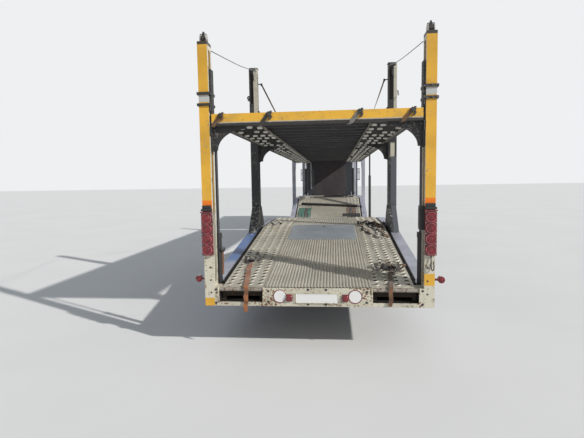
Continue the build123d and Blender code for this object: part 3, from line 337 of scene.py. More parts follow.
def metal(name, base, roughness=0.35, stretch=(1, 1, 1)):
    """Plain or brushed metal with a slight stain."""
    s = Shader(name, roughness, 1.0)
    stain, grain = s.noise(4, 6, 0.7), s.noise(90, 3, 0.6, stretch, 5)
    tone = s.stain(base, dim(base, 0.7), stain, 0.4, 0.7)
    return s.surface(tone, s.plus(s.times(grain, 0.25), roughness - 0.12), grain, 0.0003)


def lens(name, base):
    """Moulded lamp glass with fine rings of prisms."""
    s = Shader(name, 0.12, Coat_Weight=0.6)
    prism, depth = s.noise(170, 2, 0.5), s.noise(22, 3, shift=4)
    tone = s.stain(base, dim(base, 0.45), depth, 0.35, 0.7)
    return s.surface(tone, s.plus(s.times(prism, 0.18), 0.08), prism, 0.0006)


def glass(name, tint):
    """Tinted window glass with a little dust."""
    s = Shader(name, 0.02, Transmission_Weight=1.0, IOR=1.45)
    dust = s.noise(6, 6, 0.7)
    tone = s.stain(tint, dim(tint, 0.75), dust, 0.45, 0.8, 0.35)
    return s.surface(tone, s.plus(s.times(s.step(dust, 0.5, 0.9), 0.12), 0.02))


def cab_paint():
    """Dark graphite gloss paint with fine flake and road film near its foot."""
    s = Shader("cab_graphite", 0.3, 0.25, Coat_Weight=0.5, Coat_Roughness=0.08)
    flake, film = s.noise(900, 2, 0.5), s.noise(3, 7, 0.7, shift=5)
    base = s.mix(s.times(flake, 0.4), (0.040, 0.044, 0.052), (0.085, 0.092, 0.105))
    low = s.times(s.step(s.z, 1.7, 0.9), 0.2)
    grime = s.times(s.step(s.plus(film, low), 0.6, 0.95), 0.45)
    return s.surface(s.mix(grime, base, (0.20, 0.18, 0.15)), s.plus(s.times(grime, 0.4), 0.26),
                     s.noise(1.2, 2, shift=8), 0.0015, 0.25)


def fabric(name, base, pitch=0.003):
    """Woven cloth or webbing: two crossed sets of threads and a dirty, faded tone."""
    s = Shader(name, 0.9, Sheen_Weight=0.25)
    across, along = s.wave(s.plus(s.x, s.y), pitch), s.wave(s.plus(s.z, s.times(s.y, 0.6)), pitch)
    tone = s.stain(base, dim(base, 0.45, 0.03), s.noise(9, 6, 0.7), 0.35, 0.7)
    return s.surface(tone, None, s.times(across, along), 0.0008, 0.8)


def upper_paint():
    """The upper deck's frame: near black, with the rear beam's face yellow and its ends cream."""
    s = worn_paint("upper_frame_paint", **UPPER_BLACK)
    patch, flakes = s.noise(5.0, 7, 0.7, shift=13), s.noise(24, 7, 0.72, shift=17)
    face = s.stain(YELLOW, (0.62, 0.36, 0.06), patch, 0.42, 0.66)
    face = s.stain(face, (0.25, 0.17, 0.08), flakes, 0.60, 0.64)
    face = s.stain(face, RUST, flakes, 0.67, 0.70)
    edge = s.plus(s.z, s.times(flakes, 0.012))
    face = s.stain(face, (0.44, 0.41, 0.34), edge, 2.606, 2.602)
    face = s.stain(face, (0.028, 0.026, 0.024), edge, 2.596, 2.592)
    on_tail = s.times(s.step(s.y, TAIL_Y + 0.1105, TAIL_Y + 0.109), s.step(s.nz, -0.7, -0.3))
    return s.surface(s.mix(on_tail, s.base, face))


def under_paint():
    """The upper decks' black paint, with painted shade darkening the faces that point down."""
    s = worn_paint("upper_deck_paint", **UPPER_BLACK)
    # Painted shade: faces that point down are painted darker.
    return s.surface(s.stain(s.base, (0.010, 0.010, 0.010), s.nz, -0.3, -0.7, 0.75))


def tail_paint():
    """The tail beam's cream paint, chipped to rust, and near black inside the ramp pockets as painted shade.
    """
    s = worn_paint("cream_paint", CREAM, (0.3, 0.22, 0.14), chip=0.585, dirt=0.6, roughness=0.6)
    # Painted shade: the inside of the ramp pockets is painted near black.
    painted_pocket_shade = s.times(s.band(s.math("ABSOLUTE", s.x), 0.602, 1.118), s.band(s.z, 0.588, 0.7505),
                     s.step(s.y, TAIL_Y + 0.002, TAIL_Y + 0.012))
    return s.surface(s.mix(painted_pocket_shade, s.base, (0.022, 0.019, 0.016)))


def grey_paint():
    """The side beams' lavender grey, with a painted blue sky reflection on a stretch of the left beam and
    painted shade in the gap beside the deck.
    """
    s = worn_paint("beam_grey", (0.44, 0.46, 0.55), (0.25, 0.22, 0.2), chip=0.70, dirt=0.3, roughness=0.45)
    along = s.plus(s.y, s.times(s.noise(2.5, 5, 0.6, shift=9), 0.6))
    # Painted reflection: a stretch of the left beam is tinted with the blue of the sky seen in its shade.
    painted_sky_reflection = s.times(s.step(s.x, -1.0, -1.1), s.step(along, TAIL_Y + 1.15, TAIL_Y + 1.45),
                   s.step(along, TAIL_Y + 3.3, TAIL_Y + 3.1), 0.85)
    # Painted shade: near black on the beams' faces by the deck's edge, in the gap beside the deck.
    painted_gap_shade = s.times(s.band(s.math("ABSOLUTE", s.x), 1.05, 1.124), s.step(s.y, TAIL_Y + 3.2, TAIL_Y + 3.0))
    return s.surface(s.mix(painted_gap_shade, s.mix(painted_sky_reflection, s.base, (0.045, 0.13, 0.36)), (0.018, 0.017, 0.017)))


SHADERS = {
    "yellow": post_paint(),
    "cream": tail_paint(),
    "black_post": black_post_paint(),
    "grey": grey_paint(),
    "deck": deck_metal(),
    "sheet": smooth_sheet(),
    "upper": upper_paint(),
    "under": under_paint(),
    # Partly painted light: the cross members' dark grey is lighter than the decks' black so they read as lit.
    "joist": worn_paint("joist_paint_and_painted_light", (0.075, 0.075, 0.080), (0.2, 0.19, 0.17), 0.68, 0.5, 0.6),
    "hole": metal("hole_shade", (0.030, 0.027, 0.024), 0.7),
    # Painted light, chipped: the pale colour of the upper tracks' hole walls and of the pans' lips.
    "pale_hole": worn_paint("hole_worn_and_painted_light", (0.90, 0.88, 0.80), (0.05, 0.045, 0.04), 0.63, 0.4, scale=4.0),
    "edge": worn_paint("pan_edge", (0.60, 0.57, 0.48), (0.04, 0.038, 0.035), 0.53, 0.5, scale=3.0),
    "chassis": worn_paint("chassis_black", (0.03, 0.03, 0.032), (0.12, 0.07, 0.04), 0.68, 0.7, 0.55),
    "rubber": rubber(),
    "black": plastic("black_plastic", (0.022, 0.022, 0.024)),
    "rim": metal("wheel_steel", (0.50, 0.51, 0.53), 0.45),
    "steel": metal("bare_steel", (0.42, 0.41, 0.39), 0.42),
    "dark_steel": metal("dark_steel", (0.09, 0.09, 0.095), 0.5),
    "chrome": metal("rod_chrome", (0.72, 0.73, 0.75), 0.16),
    "tank": metal("tank_aluminium", (0.62, 0.63, 0.65), 0.3, (1, 0.05, 1)),
    "red": lens("red_lens", (0.22, 0.008, 0.014)),
    "pink": lens("lamp_bezel", (0.38, 0.09, 0.11)),
    "amber": lens("amber_lens", (0.85, 0.22, 0.01)),
    "clear": lens("clear_lens", (0.75, 0.77, 0.80)),
    "white": plastic("blank_white", (0.78, 0.78, 0.77), 0.4),
    "glass": glass("window_glass", (0.55, 0.62, 0.64)),
    "cab": cab_paint(),
    "seat": fabric("seat_cloth", (0.05, 0.052, 0.06), 0.004),
    "strap_orange": fabric("strap_orange", (0.36, 0.13, 0.045)),
    "strap_brown": fabric("strap_brown", (0.17, 0.085, 0.04)),
    "strap_grey": fabric("strap_grey", (0.30, 0.28, 0.25)),
    "strap_black": fabric("strap_black", (0.045, 0.04, 0.036)),
    "strap_pale": fabric("strap_pale", (0.58, 0.55, 0.48)),
    "strap_green": fabric("strap_green", (0.015, 0.17, 0.12)),
    "rusty": worn_paint("rusty_pipe", (0.20, 0.10, 0.05), (0.08, 0.04, 0.02), 0.6, 0.5, 0.7),
    # Partly painted shade: the ramps' rusty steel is made near black so the ramp ends read as the shaded
    # inside of the pockets.
    "ramp": worn_paint("ramp_steel_and_painted_shade", (0.050, 0.036, 0.026), (0.09, 0.07, 0.05), 0.62, 0.2, 0.8),
    "roller": worn_paint("roller_steel", (0.33, 0.30, 0.26), (0.14, 0.09, 0.06), 0.60, 0.6, 0.5),
    # Partly painted shade: the cab back's dark paint is made darker still to stand in for the shade the
    # platform casts on it.
    "cab_back": worn_paint("cab_back_paint_and_painted_shade", (0.050, 0.042, 0.047), (0.12, 0.10, 0.09), 0.7, 0.4, 0.6),
    "pale_pipe": worn_paint("pale_pipe", (0.50, 0.50, 0.48), (0.2, 0.17, 0.13), 0.66, 0.5),
    "iron": worn_paint("engine_iron", (0.12, 0.12, 0.12), (0.2, 0.15, 0.1), dirt=0.6),
    "wire": metal("wire_rope", (0.25, 0.25, 0.26), 0.5),
}
M = {key: shader.material for key, shader in SHADERS.items()}

NODE_MATERIALS = {node: material for material, nodes in {
    "yellow": "rear_posts", "black_post": "mid_posts", "grey": "front_posts trailer_frame gooseneck",
    "cream": "tail_beam", "deck": "lower_deck", "upper": "upper_deck", "joist": "upper_cross_members",
    "under": "carriages upper_tracks platform_tracks front_platform", "dark_steel": "lift_rods",
    "chrome": "tilt_rods", "red": "tail_lamps",
    "black": "lift_barrels tilt_barrels grille dashboard trailer_mudguards tractor_mudguards",
    "clear": "headlamps", "glass": "windscreen door_glass_left door_glass_right",
    "cab": "cab_shell door_left door_right bumper", "seat": "seats", "iron": "engine", "tank": "side_tanks",
    "ramp": "ramp_left ramp_right",
}.items() for node in nodes.split()}


def dress_nodes():
    """Gives every CAD node its material."""
    for name, node in NODES.items():
        key = NODE_MATERIALS.get(name, "rubber" if "tyre" in name else "rim" if "rim" in name else "chassis")
        node.data.materials.clear()
        node.data.materials.append(M[key])


class Build:
    """A mesh under construction; forms are given for the right-hand side and made on each of its sides."""

    def __init__(self, *sides):
        self.bm = bmesh.new()
        self.sides = sides or (1,)

    def verts(self, points):
        return [self.bm.verts.new(point) for point in points]

    def bridge(self, a, b, material=0):
        """Joins two loops of vertices by a band of faces."""
        n = len(a)
        for i in range(n):
            face = self.bm.faces.new((a[i], a[(i + 1) % n], b[(i + 1) % n], b[i]))
            face.material_index = material

    def loft(self, rings, cap=True):
        """A skin over loops of vertices."""
        for a, b in zip(rings, rings[1:]):
            self.bridge(a, b)
        if cap:
            self.bm.faces.new(rings[0][::-1])
            self.bm.faces.new(rings[-1])
        return self

    def prism(self, x, outline):
        """A block across x with an outline of (station, height) points."""
        for side in self.sides:
            self.loft([self.verts(p(a, *point) for point in outline) for a in on_side(side, *x)])
        return self

    def box(self, x, s, z):
        """A block between (low, high) pairs of x, station and height."""
        return self.prism(x, ((s[0], z[0]), (s[1], z[0]), (s[1], z[1]), (s[0], z[1])))

    def bar(self, x, stations, surface, drop, depth):
        """A bar that follows a surface through the stations, from drop to drop + depth under it."""
        for side in self.sides:
            a, b = on_side(side, *x)
            section = ((a, 0), (b, 0), (b, depth), (a, depth))
            self.loft([self.verts(p(c, s, surface(s) - drop - d) for c, d in section) for s in stations])
        return self

    def ring(self, centre, u, w, r, segments):
        """A loop of vertices round centre in the plane of u and w."""
        turn = [2 * pi * i / segments for i in range(segments)]
        return self.verts(centre + u * (r * cos(a)) + w * (r * sin(a)) for a in turn)

    def revolve(self, centre, axis, profile, segments=24, cap=True):
        """A turned form: profile holds (distance along axis, radius) pairs."""
        for side in self.sides:
            flip = Vector((side, 1, 1))
            along = (Vector(axis) * flip).normalized()
            u = along.orthogonal().normalized()
            w = along.cross(u)
            start = centre * flip
            self.loft([self.ring(start + along * d, u, w, max(r, 1e-5), segments) for d, r in profile], cap)
        return self

    def rod(self, a, b, r, segments=12):
        """A round bar from point a to point b."""
        return self.revolve(a, b - a, [(0, r), ((b - a).length, r)], segments)

    def tube(self, points, r, segments=8):
        """A round tube through points."""
        rings, up = [], None
        for i, point in enumerate(points):
            ahead = (points[min(i + 1, len(points) - 1)] - points[max(i - 1, 0)]).normalized()
            up = up or ahead.orthogonal().normalized()
            up = (up - ahead * up.dot(ahead)).normalized()
            rings.append(self.ring(point, up, ahead.cross(up), r, segments))
        return self.loft(rings)

    def ribbon(self, points, across, thickness):
        """A flat strap through points: across gives each point's half-width vector."""
        rings = []
        for i, (point, half) in enumerate(zip(points, across)):
            ahead = (points[min(i + 1, len(points) - 1)] - points[max(i - 1, 0)]).normalized()
            out = half.cross(ahead).normalized() * (thickness / 2)
            a, b = point - half, point + half
            rings.append(self.verts((a - out, b - out, b + out, a + out)))
        return self.loft(rings)

    def punched(self, x, s, surface, pitch, thickness, hole, lip=0.010):
        """A sheet full of holes with raised rims; surface(s) gives its height."""
        seen, under = {}, {}

        def corner(px, ps, drop):
            key = (round(px, 4), round(ps, 4), drop)
            if key not in seen:
                seen[key] = self.bm.verts.new(p(px, ps, surface(ps) - drop))
            return seen[key]

        columns, rows = round((x[1] - x[0]) / pitch[0]), round((s[1] - s[0]) / pitch[1])
        half = ((x[1] - x[0]) / columns / 2, (s[1] - s[0]) / rows / 2)
        turn = [radians(15 + 30 * k) for k in range(12)]
        reach = [max(abs(cos(a)), abs(sin(a))) for a in turn]
        square = [(cos(a) / r, sin(a) / r) for a, r in zip(turn, reach)]
        rim = [(hole + lip, 0.0), (hole + 0.002, -lip), (hole - 0.002, -0.6 * lip), (hole - 0.003, thickness)]
        for side, i, j in product(self.sides, range(columns), range(rows)):
            cx, cs = side * (x[0] + half[0] * (2 * i + 1)), s[0] + half[1] * (2 * j + 1)
            top, low = ([corner(cx + half[0] * a, cs + half[1] * b, drop) for a, b in square]
                        for drop in (0.0, thickness))
            rings = [self.verts(p(cx + r * cos(a), cs + r * sin(a), surface(cs + r * sin(a)) - drop)
                                for a in turn) for r, drop in rim]
            for a, b, material in zip((top, *rings), (*rings, low), (0, 0, 0, 1, 0)):
                self.bridge(a, b, material)
            under.update(zip(top, low))
        edges = [e.verts for e in self.bm.edges if e.is_boundary and all(v in under for v in e.verts)]
        for a, b in edges:
            self.bm.faces.new((a, b, under[b], under[a]))
        return self

    def corrugated(self, half, stations, surface, pitch, height, thickness=0.004):
        """A sheet with lengthwise ridges, its ridge tops on the surface."""
        count = round(2 * half / pitch)
        step = 2 * half / count
        profile = [(-half + (i + f) * step, d) for i in range(count)
                   for f, d in ((0, height), (0.32, height), (0.5, 0.0), (0.82, 0.0))] + [(half, height)]
        around = profile + [(x, d + thickness) for x, d in profile[::-1]]
        rings = [self.verts(p(x, s, surface(s) - d) for x, d in around) for s in stations]
        return self.loft(rings, cap=False)

    def done(self, name, material, body="trailer", slot=None, bevel=0.0, smooth=False, segments=1):
        """Turns the mesh into a piece that rides on body, or on none yet."""
        bmesh.ops.recalc_face_normals(self.bm, faces=self.bm.faces)
        mesh = bpy.data.meshes.new(name)
        self.bm.to_mesh(mesh)
        self.bm.free()
        piece = bpy.data.objects.new(name, mesh)
        bpy.context.scene.collection.objects.link(piece)
        mesh.materials.append(M[material])
        if bevel:
            mod = piece.modifiers.new("bevel", "BEVEL")
            mod.width = bevel
            mod.segments = segments
            mod.limit_method = "ANGLE"
        if smooth:
            mesh.shade_smooth()
            mesh.set_sharp_from_angle(angle=radians(35))
        if body:
            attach(piece, body)
        return piece


def camera():
    """The photograph's view, from behind at a person's height."""
    yaw, pitch, roll = radians(5.57), radians(5.0), radians(-0.93)
    ahead, right, up = Vector((-sin(yaw), cos(yaw), 0)), Vector((cos(yaw), sin(yaw), 0)), Vector((0, 0, 1))
    forward, up = cos(pitch) * ahead - sin(pitch) * up, sin(pitch) * ahead + cos(pitch) * up
    right, up = cos(roll) * right + sin(roll) * up, cos(roll) * up - sin(roll) * right
    data = bpy.data.cameras.new("camera")
    data.lens, data.sensor_width, data.clip_end = 27.0, 36.0, 500
    view = bpy.data.objects.new("camera", data)
    bpy.context.scene.collection.objects.link(view)
    turn = Matrix((right, up, -forward)).transposed().to_4x4()
    view.matrix_world = Matrix.Translation(p(0.20, -4.77, 1.95)) @ turn
    bpy.context.scene.camera = view


def stage():
    """A pale floor, pale surroundings and plain light."""
    scene = bpy.context.scene
    scene.view_settings.view_transform = "Standard"
    scene.world = bpy.data.worlds.new("world")
    scene.world.use_nodes = True
    tree = scene.world.node_tree
    tree.nodes.clear()
    rays = new_node(tree, "LightPath").outputs
    seen = rays["Is Camera Ray"]
    for kind in ("Glossy", "Transmission"):
        either = new_node(tree, "Math", seen, rays[f"Is {kind} Ray"])
        either.operation = "MAXIMUM"
        seen = either.outputs[0]
    lit = new_node(tree, "Background", (0.86, 0.93, 1.0), 0.34)
    shown = new_node(tree, "Background", (0.86, 0.87, 0.88))
    choice = new_node(tree, "MixShader", seen, lit.outputs[0], shown.outputs[0])
    new_node(tree, "OutputWorld", choice.outputs[0])

    sun = bpy.data.lights.new("sun", "SUN")
    sun.energy, sun.angle, sun.color = 3.3, radians(1.2), (1.0, 0.97, 0.92)
    lamp = bpy.data.objects.new("sun", sun)
    scene.collection.objects.link(lamp)
    lamp.rotation_euler = Vector((0.874, -0.486, 0.56)).to_track_quat("Z", "Y").to_euler()

    size = 120.0
    mesh = bpy.data.meshes.new("floor")
    corners = [(-size, -size, 0), (size, -size, 0), (size, size, 0), (-size, size, 0)]
    mesh.from_pydata(corners, [], [(0, 1, 2, 3)])
    floor = bpy.data.objects.new("floor", mesh)
    scene.collection.objects.link(floor)
    s = Shader("floor_grey", 0.9)
    s.surface(s.stain((0.84, 0.845, 0.85), (0.81, 0.815, 0.82), s.noise(0.4, 4), 0.3, 0.7))
    mesh.materials.append(s.material)


def lower_deck():
    """Punched wheel tracks with folded edges, the ridged sheet between them and the flat one on the hump."""
    bends = [s for s, z in DECK_LINE[1:-1]]
    run = [DECK_START, *bends, DECK_END]
    tracks = Build(-1, 1)
    tracks.punched((TRACK_IN, TRACK_OUT), (TRACK_START, DECK_END), deck_height, (0.1175, 0.113), 0.020, 0.027)
    panels = tracks.done("deck_tracks", "deck")
    panels.data.materials.append(M["hole"])
    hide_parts("lower_deck")
    folds = Build(-1, 1)
    for edge in (TRACK_IN + 0.0001, TRACK_OUT - 0.0081):
        folds.bar((edge, edge + 0.008), run, deck_height, 0.0085, 0.051)
    folds.done("deck_folds", "deck")
    centre = Build().corrugated(TRACK_IN - 0.004, [CENTRE_START, *run[1:]], cover_height, 0.036, 0.007)
    centre.done("deck_centre", "deck")
    ribs = Build()
    for x in (-0.4, -0.2, 0.0, 0.2, 0.4):
        ribs.bar((x - 0.008, x + 0.008), run, deck_height, 0.012, 0.048)
    ribs.done("deck_ribs", "chassis", slot="deck_aluminium")
    # Painted shade: a near-black strip in the gap between the tracks and the side beams.
    gap_shade_strips = Build(-1, 1).bar((1.0712, 1.1092), [0.2, *bends, 13.8], deck_height, 0.009, 0.010)
    gap_shade_strips.done("deck_edge_gap_shade", "hole")
    hump = Build().bar((-0.545, 0.545), (2.10, 3.0, 3.24), deck_height, -0.004, 0.004)
    hump.done("hump_sheet", "sheet", bevel=0.002)
    hole = Build().revolve(on_deck(0.016, 2.95, 0), (0, -0.12, 1), [(0.0, 0.022), (0.0052, 0.022)], 20)
    hole.done("hump_sheet_hole", "hole")
    strips = Build(-1, 1)
    for s in bends + [1.6, 8.0, 12.5]:
        strips.bar((TRACK_IN + 0.012, TRACK_OUT - 0.012), (s - 0.02, s, s + 0.02), deck_height, -0.003, 0.003)
    strips.done("deck_joint_strips", "deck", bevel=0.001)


def upper_sheets():
    """The punched tracks of the upper deck and of the platform, with the lipped pans under their rungs; the
    pans' near black is painted shade, and the pale hole walls and pan lips are painted light.
    """
    for label, body, node, surface, drop in (
            ("upper", "upper_deck", "upper_tracks", upper_height, 0.0735),
            ("platform", "front_platform", "platform_tracks", platform_height, 0.0825)):
        run = stations(node)
        tracks = Build(-1, 1)
        tracks.punched((TRACK_IN, UPPER_TRACK_OUT), run, surface, (0.1075, 0.113), 0.010, 0.026)
        piece = tracks.done(f"{label}_track_sheets", "under", body)
        # Painted light: the holes' inner walls get the pale material.
        piece.data.materials.append(M["pale_hole"])
        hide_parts(node)
        centre = Build().corrugated(TRACK_IN - 0.004, run, surface, 0.05, 0.006)
        centre.done(f"{label}_centre_sheet", "under", body)
        pans, edges, lips = Build(-1, 1), Build(-1, 1), Build()
        pans.bar((TRACK_IN + 0.003, UPPER_TRACK_OUT - 0.003), run, surface, drop, 0.004)
        for edge in (TRACK_IN, UPPER_TRACK_OUT - 0.006):
            edges.bar((edge, edge + 0.006), run, surface, drop - 0.0005, 0.028)
        # Painted light: the pale lips under the pans stand in for lit patches; the near-black pans are
        # painted shade.
        chance = random.Random(5)
        rows = round((run[1] - run[0]) / 0.42)
        pitch = ((UPPER_TRACK_OUT - TRACK_IN) / 4, (run[1] - run[0]) / rows)
        for side, i, j in product((-1, 1), range(4), range(rows)):
            x = side * (TRACK_IN + pitch[0] * (i + 0.5))
            s = run[0] + pitch[1] * (j + 0.35 + 0.3 * chance.random())
            if chance.random() > 0.12:
                lips.revolve(p(x, s, surface(s) - drop - 0.003), (0, 0, -1),
                             [(0, 0.036), (0.020, 0.031), (0.020, 0.027), (0.002, 0.024)], 10, cap=False)
        pans.done(f"{label}_track_pans", "hole", body, "deck_steel")
        edges.done(f"{label}_pan_edges", "edge", body)
        lips.done(f"{label}_pan_lips", "pale_hole", body)


def tail():
    """The tail beam's roller sleeves, bolts, blank plate and blank discs."""
    half, r = ROLLER_HALF, ROLLER_R
    end = [(-half, r), (-half, r + 0.0035), (-half + 0.012, r + 0.0035), (-half + 0.014, r + 0.001)]
    profile = [*end, (0, r + 0.0002), *[(-d, a) for d, a in end[::-1]]]
    rollers = Build(-1, 1).revolve(p(0.860, ROLLER_S, ROLLER_Z), (1, 0, 0), profile, 32)
    rollers.done("pocket_rollers", "roller", smooth=True)
    brackets, trays, heads = Build(-1, 1), Build(-1, 1), Build(-1, 1)
    for x in (0.602, 1.118):
        brackets.box((x - 0.006, x + 0.006), (-0.010, 0.056), (0.700, 0.7635))
        brackets.revolve(p(x, ROLLER_S, ROLLER_Z), (1, 0, 0), [(-0.012, 0.013), (0.012, 0.013)], 12)
    brackets.done("roller_brackets", "cream", bevel=0.003)
    plate = Build().box((-0.234, 0.234), (-0.0085, -0.0062), (0.594, 0.696))
    plate.done("blank_number_plate", "white", bevel=0.003, segments=2)
    rim = Build()
    for x, z in (((-0.240, 0.240), (0.588, 0.595)), ((-0.240, 0.240), (0.695, 0.702)),
                 ((-0.240, -0.233), (0.588, 0.702)), ((0.233, 0.240), (0.588, 0.702))):
        rim.box(x, (-0.014, -0.006), z)
    rim.done("number_plate_frame", "cream", bevel=0.002)
    for run in ((0.12, 0.865), (0.935, 1.865)):
        trays.box((0.617, 1.105), run, (0.588, 0.5945))
    trays.done("ramp_trays", "hole")
    for label, x in (("left", -0.414), ("right", 0.420)):
        disc = Build().revolve(p(x, 0, 0.665), (0, -1, 0), [(0.0, 0.079), (0.004, 0.079), (0.005, 0.077)], 48)
        disc.done(f"blank_disc_{label}", "white")
        ring = [(0.0045, 0.067), (0.0062, 0.069), (0.0062, 0.076), (0.0045, 0.078)]
        border = Build().revolve(p(x, 0, 0.665), (0, -1, 0), ring, 48, cap=False)
        border.done(f"disc_border_{label}", "red")
    for x, z in ((0.545, 0.60), (0.545, 0.72), (1.145, 0.585), (1.145, 0.735), (0.10, 0.74), (0.10, 0.575)):
        heads.revolve(p(x, -0.0002, z), (0, -1, 0), [(0, 0.0135), (0.00175, 0.0135)], 14)
        heads.revolve(p(x, -0.0002, z), (0, -1, 0), [(0.00175, 0.009), (0.0063, 0.009), (0.007, 0.0072)], 6)
    heads.done("tail_bolts", "dark_steel")
    profile = [(0, 0.036), (0.008, 0.036), (0.010, 0.033), (0.014, 0.031), (0.017, 0.022), (0.018, 0.0)]
    lamps = Build(-1, 1).revolve(p(0.309, -0.018, 0.650), (0, -1, 0), profile, 32)
    lamps.done("plate_side_lamps", "red", smooth=True)


def rear_lamps():
    """Ringed lenses, bezels, screws and brackets of the lamp clusters, with the marker lamps' lenses."""
    lenses, bezels, screws, tops = (Build(-1, 1) for _ in range(4))
    ribs = [(0.000, 0.046), (0.003, 0.0455), (0.004, 0.041), (0.0025, 0.039), (0.0045, 0.037),
            (0.0055, 0.031), (0.004, 0.029), (0.006, 0.027), (0.007, 0.019), (0.0055, 0.017),
            (0.007, 0.015), (0.0078, 0.006), (0.008, 0.0)]
    bezel = [(-0.018, 0.056), (0.002, 0.056), (0.006, 0.054), (0.006, 0.0475), (0.001, 0.0462)]
    for i in range(4):
        centre = p(LAMP_X, LAMP_FACE, 1.195 + 0.117 * i)
        lenses.revolve(centre, (0, -1, 0), ribs, 40)
        bezels.revolve(centre, (0, -1, 0), bezel, 40, cap=False)
    lenses.revolve(p(1.350, 0.038, 0.850), (0, -1, 0), [(d * 0.8, r * 0.72) for d, r in ribs], 32)
    lenses.done("tail_lamp_lenses", "red", smooth=True)
    bezels.done("tail_lamp_bezels", "pink", smooth=True)
    screw = [(0, 0.006), (0.002, 0.006), (0.003, 0.004)]
    for i, dx in product(range(5), (-0.052, 0.052)):
        screws.revolve(p(LAMP_X + dx, -0.040, 1.138 + 0.116 * i), (0, -1, 0), screw, 10)
    screws.done("tail_lamp_screws", "steel", slot="red_lens")
    tops.box((LAMP_X - 0.06, LAMP_X + 0.06), (-0.050, -0.002), (1.626, 1.652))
    tops.box((LAMP_X - 0.05, LAMP_X + 0.05), (-0.030, -0.002), (1.652, 1.69))
    tops.done("tail_lamp_brackets", "black", bevel=0.004, segments=2)


def post_fittings():
    """What is bolted to the posts: slot rails, the box by the right lamps, latches and bolts."""
    guides, latches, bolts = (Build(-1, 1) for _ in range(3))
    for s, face, z in ((0.080, 1.158, (0.82, 3.38)), (3.035, 1.128, (1.46, 3.82))):
        for edge in (-0.034, 0.026):
            guides.box((face, face + 0.003), (s + edge, s + edge + 0.008), z)
    guides.done("post_slot_rails", "dark_steel")
    box = Build().box((1.112, 1.158), (0.015, 0.125), (1.40, 1.66))
    box.box((1.108, 1.113), (0.03, 0.11), (1.43, 1.63))
    box.done("switch_box", "black", bevel=0.006, segments=2)
    for z in (2.46, 2.72):
        latches.box((1.139, 1.151), (-0.004, 0.030), (z, z + 0.10))
    for z in (2.794, 2.914):
        latches.revolve(p(1.215, -0.0168, z), (0, -1, 0), [(0, 0.011), (0.006, 0.011), (0.008, 0.008)], 6)
    latches.done("post_latches", "dark_steel", "upper_deck", bevel=0.003)
    head = [(0, 0.010), (0.004, 0.010), (0.005, 0.007)]
    for i in range(5):
        bolts.revolve(p(1.196, -0.0005, 0.70 + 0.145 * i), (0, -1, 0), head, 6)
    bolts.done("post_foot_bolts", "dark_steel")


def mid_post_fittings():
    """The mid posts' slots, lugs and feet, and the webbing stays that run forward from them to the deck."""
    for label, side in SIDES:
        head, foot = p(side * 1.075, 3.118, 3.66), p(-0.70 if side < 0 else 0.80, STAY_FOOT, 2.668)
        for k, (end, body) in enumerate(((head, "trailer"), (foot, "upper_deck"))):
            eye = Build().revolve(end, (1, 0, 0), [(-0.014, 0.024), (0.014, 0.024)], 20)
            eye.done(f"stay_{label}_eye_{k + 1}", "dark_steel", body, smooth=True)
        shares = (0.0, 0.2, 0.4, 0.6, 0.8, 1.0)
        run = [head.lerp(foot, f) + Vector((0, 0, -0.03 * f * (1 - f))) for f in shares]
        twist = [(0.013 * cos(a), 0.006 * sin(a), 0.013 * sin(a)) for a in (0.0, 0.5, 1.1, 0.7, 0.4, 0.0)]
        strap(f"mid_post_stay_{label}", run, twist, "brown", crosses=("trailer", "upper_deck"))
    slots, lugs, feet = Build(), Build(-1, 1), Build(-1, 1)
    for s1, s0 in ((2.952, 2.52), (3.118, 3.40)):
        z0, z1, reach = deck_height(s0), deck_height(s1), 0.1 * (s0 - s1)
        feet.prism((1.124, 1.258), ((s0, z0 + 0.004), (s1, z1 + 0.004), (s1, 1.50), (s1 + reach, 1.50),
                                    (s0 - reach, z0 + 0.05)))
    feet.done("mid_post_feet", "black_post", bevel=0.006, segments=2)
    for x, z in product(((-1.244, -1.200), (1.148, 1.205)), ((3.30, 3.84), (2.72, 3.10))):
        slots.box(x, (2.9575, 2.9605), z)
    slots.done("mid_post_slots", "hole")
    lugs.box((1.150, 1.250), (2.948, 2.962), (3.862, 3.902))
    lugs.box((1.180, 1.196), (2.940, 2.962), (3.70, 3.80))
    lugs.box((1.120, 1.262), (2.962, 3.108), (3.9085, 3.9185))
    lugs.rod(p(1.131, 3.095, 3.665), p(1.058, 3.118, 3.660), 0.010)
    lugs.done("mid_post_lugs", "dark_steel", bevel=0.003)


def wire(name, points, r, material="wire"):
    """A round wire or hose along a smooth line."""
    curve = bpy.data.curves.new(name, "CURVE")
    curve.dimensions = "3D"
    curve.bevel_depth, curve.bevel_resolution, curve.resolution_u = r, 3, 16
    spline = curve.splines.new("NURBS")
    spline.points.add(len(points) - 1)
    for point, place in zip(spline.points, points):
        point.co = (*place, 1.0)
    spline.order_u = 3
    spline.use_endpoint_u = True
    piece = bpy.data.objects.new(name, curve)
    bpy.context.scene.collection.objects.link(piece)
    curve.materials.append(M[material])
    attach(piece, "trailer")
    return piece


def rigging():
    """Safety wires between the posts' tops, and the hose loop under the right-hand lamps."""
    for label, side in SIDES:
        ends = [p(side * x, s, z) for x, s, z in
                ((1.150, 0.145, 3.40), (1.144, 1.2, 3.545), (1.138, 2.1, 3.69), (1.134, 2.955, 3.86))]
        wire(f"safety_wire_{label}", ends, 0.005)
    route = [p(*point) for point in
             ((1.225, -0.012, 1.128), (1.226, -0.020, 1.075), (1.222, -0.030, 1.010), (1.232, -0.034, 0.965),
              (1.252, -0.030, 0.972), (1.257, -0.022, 1.020), (1.250, -0.012, 1.060))]
    piece = wire("lamp_hose", route, 0.006, "black")


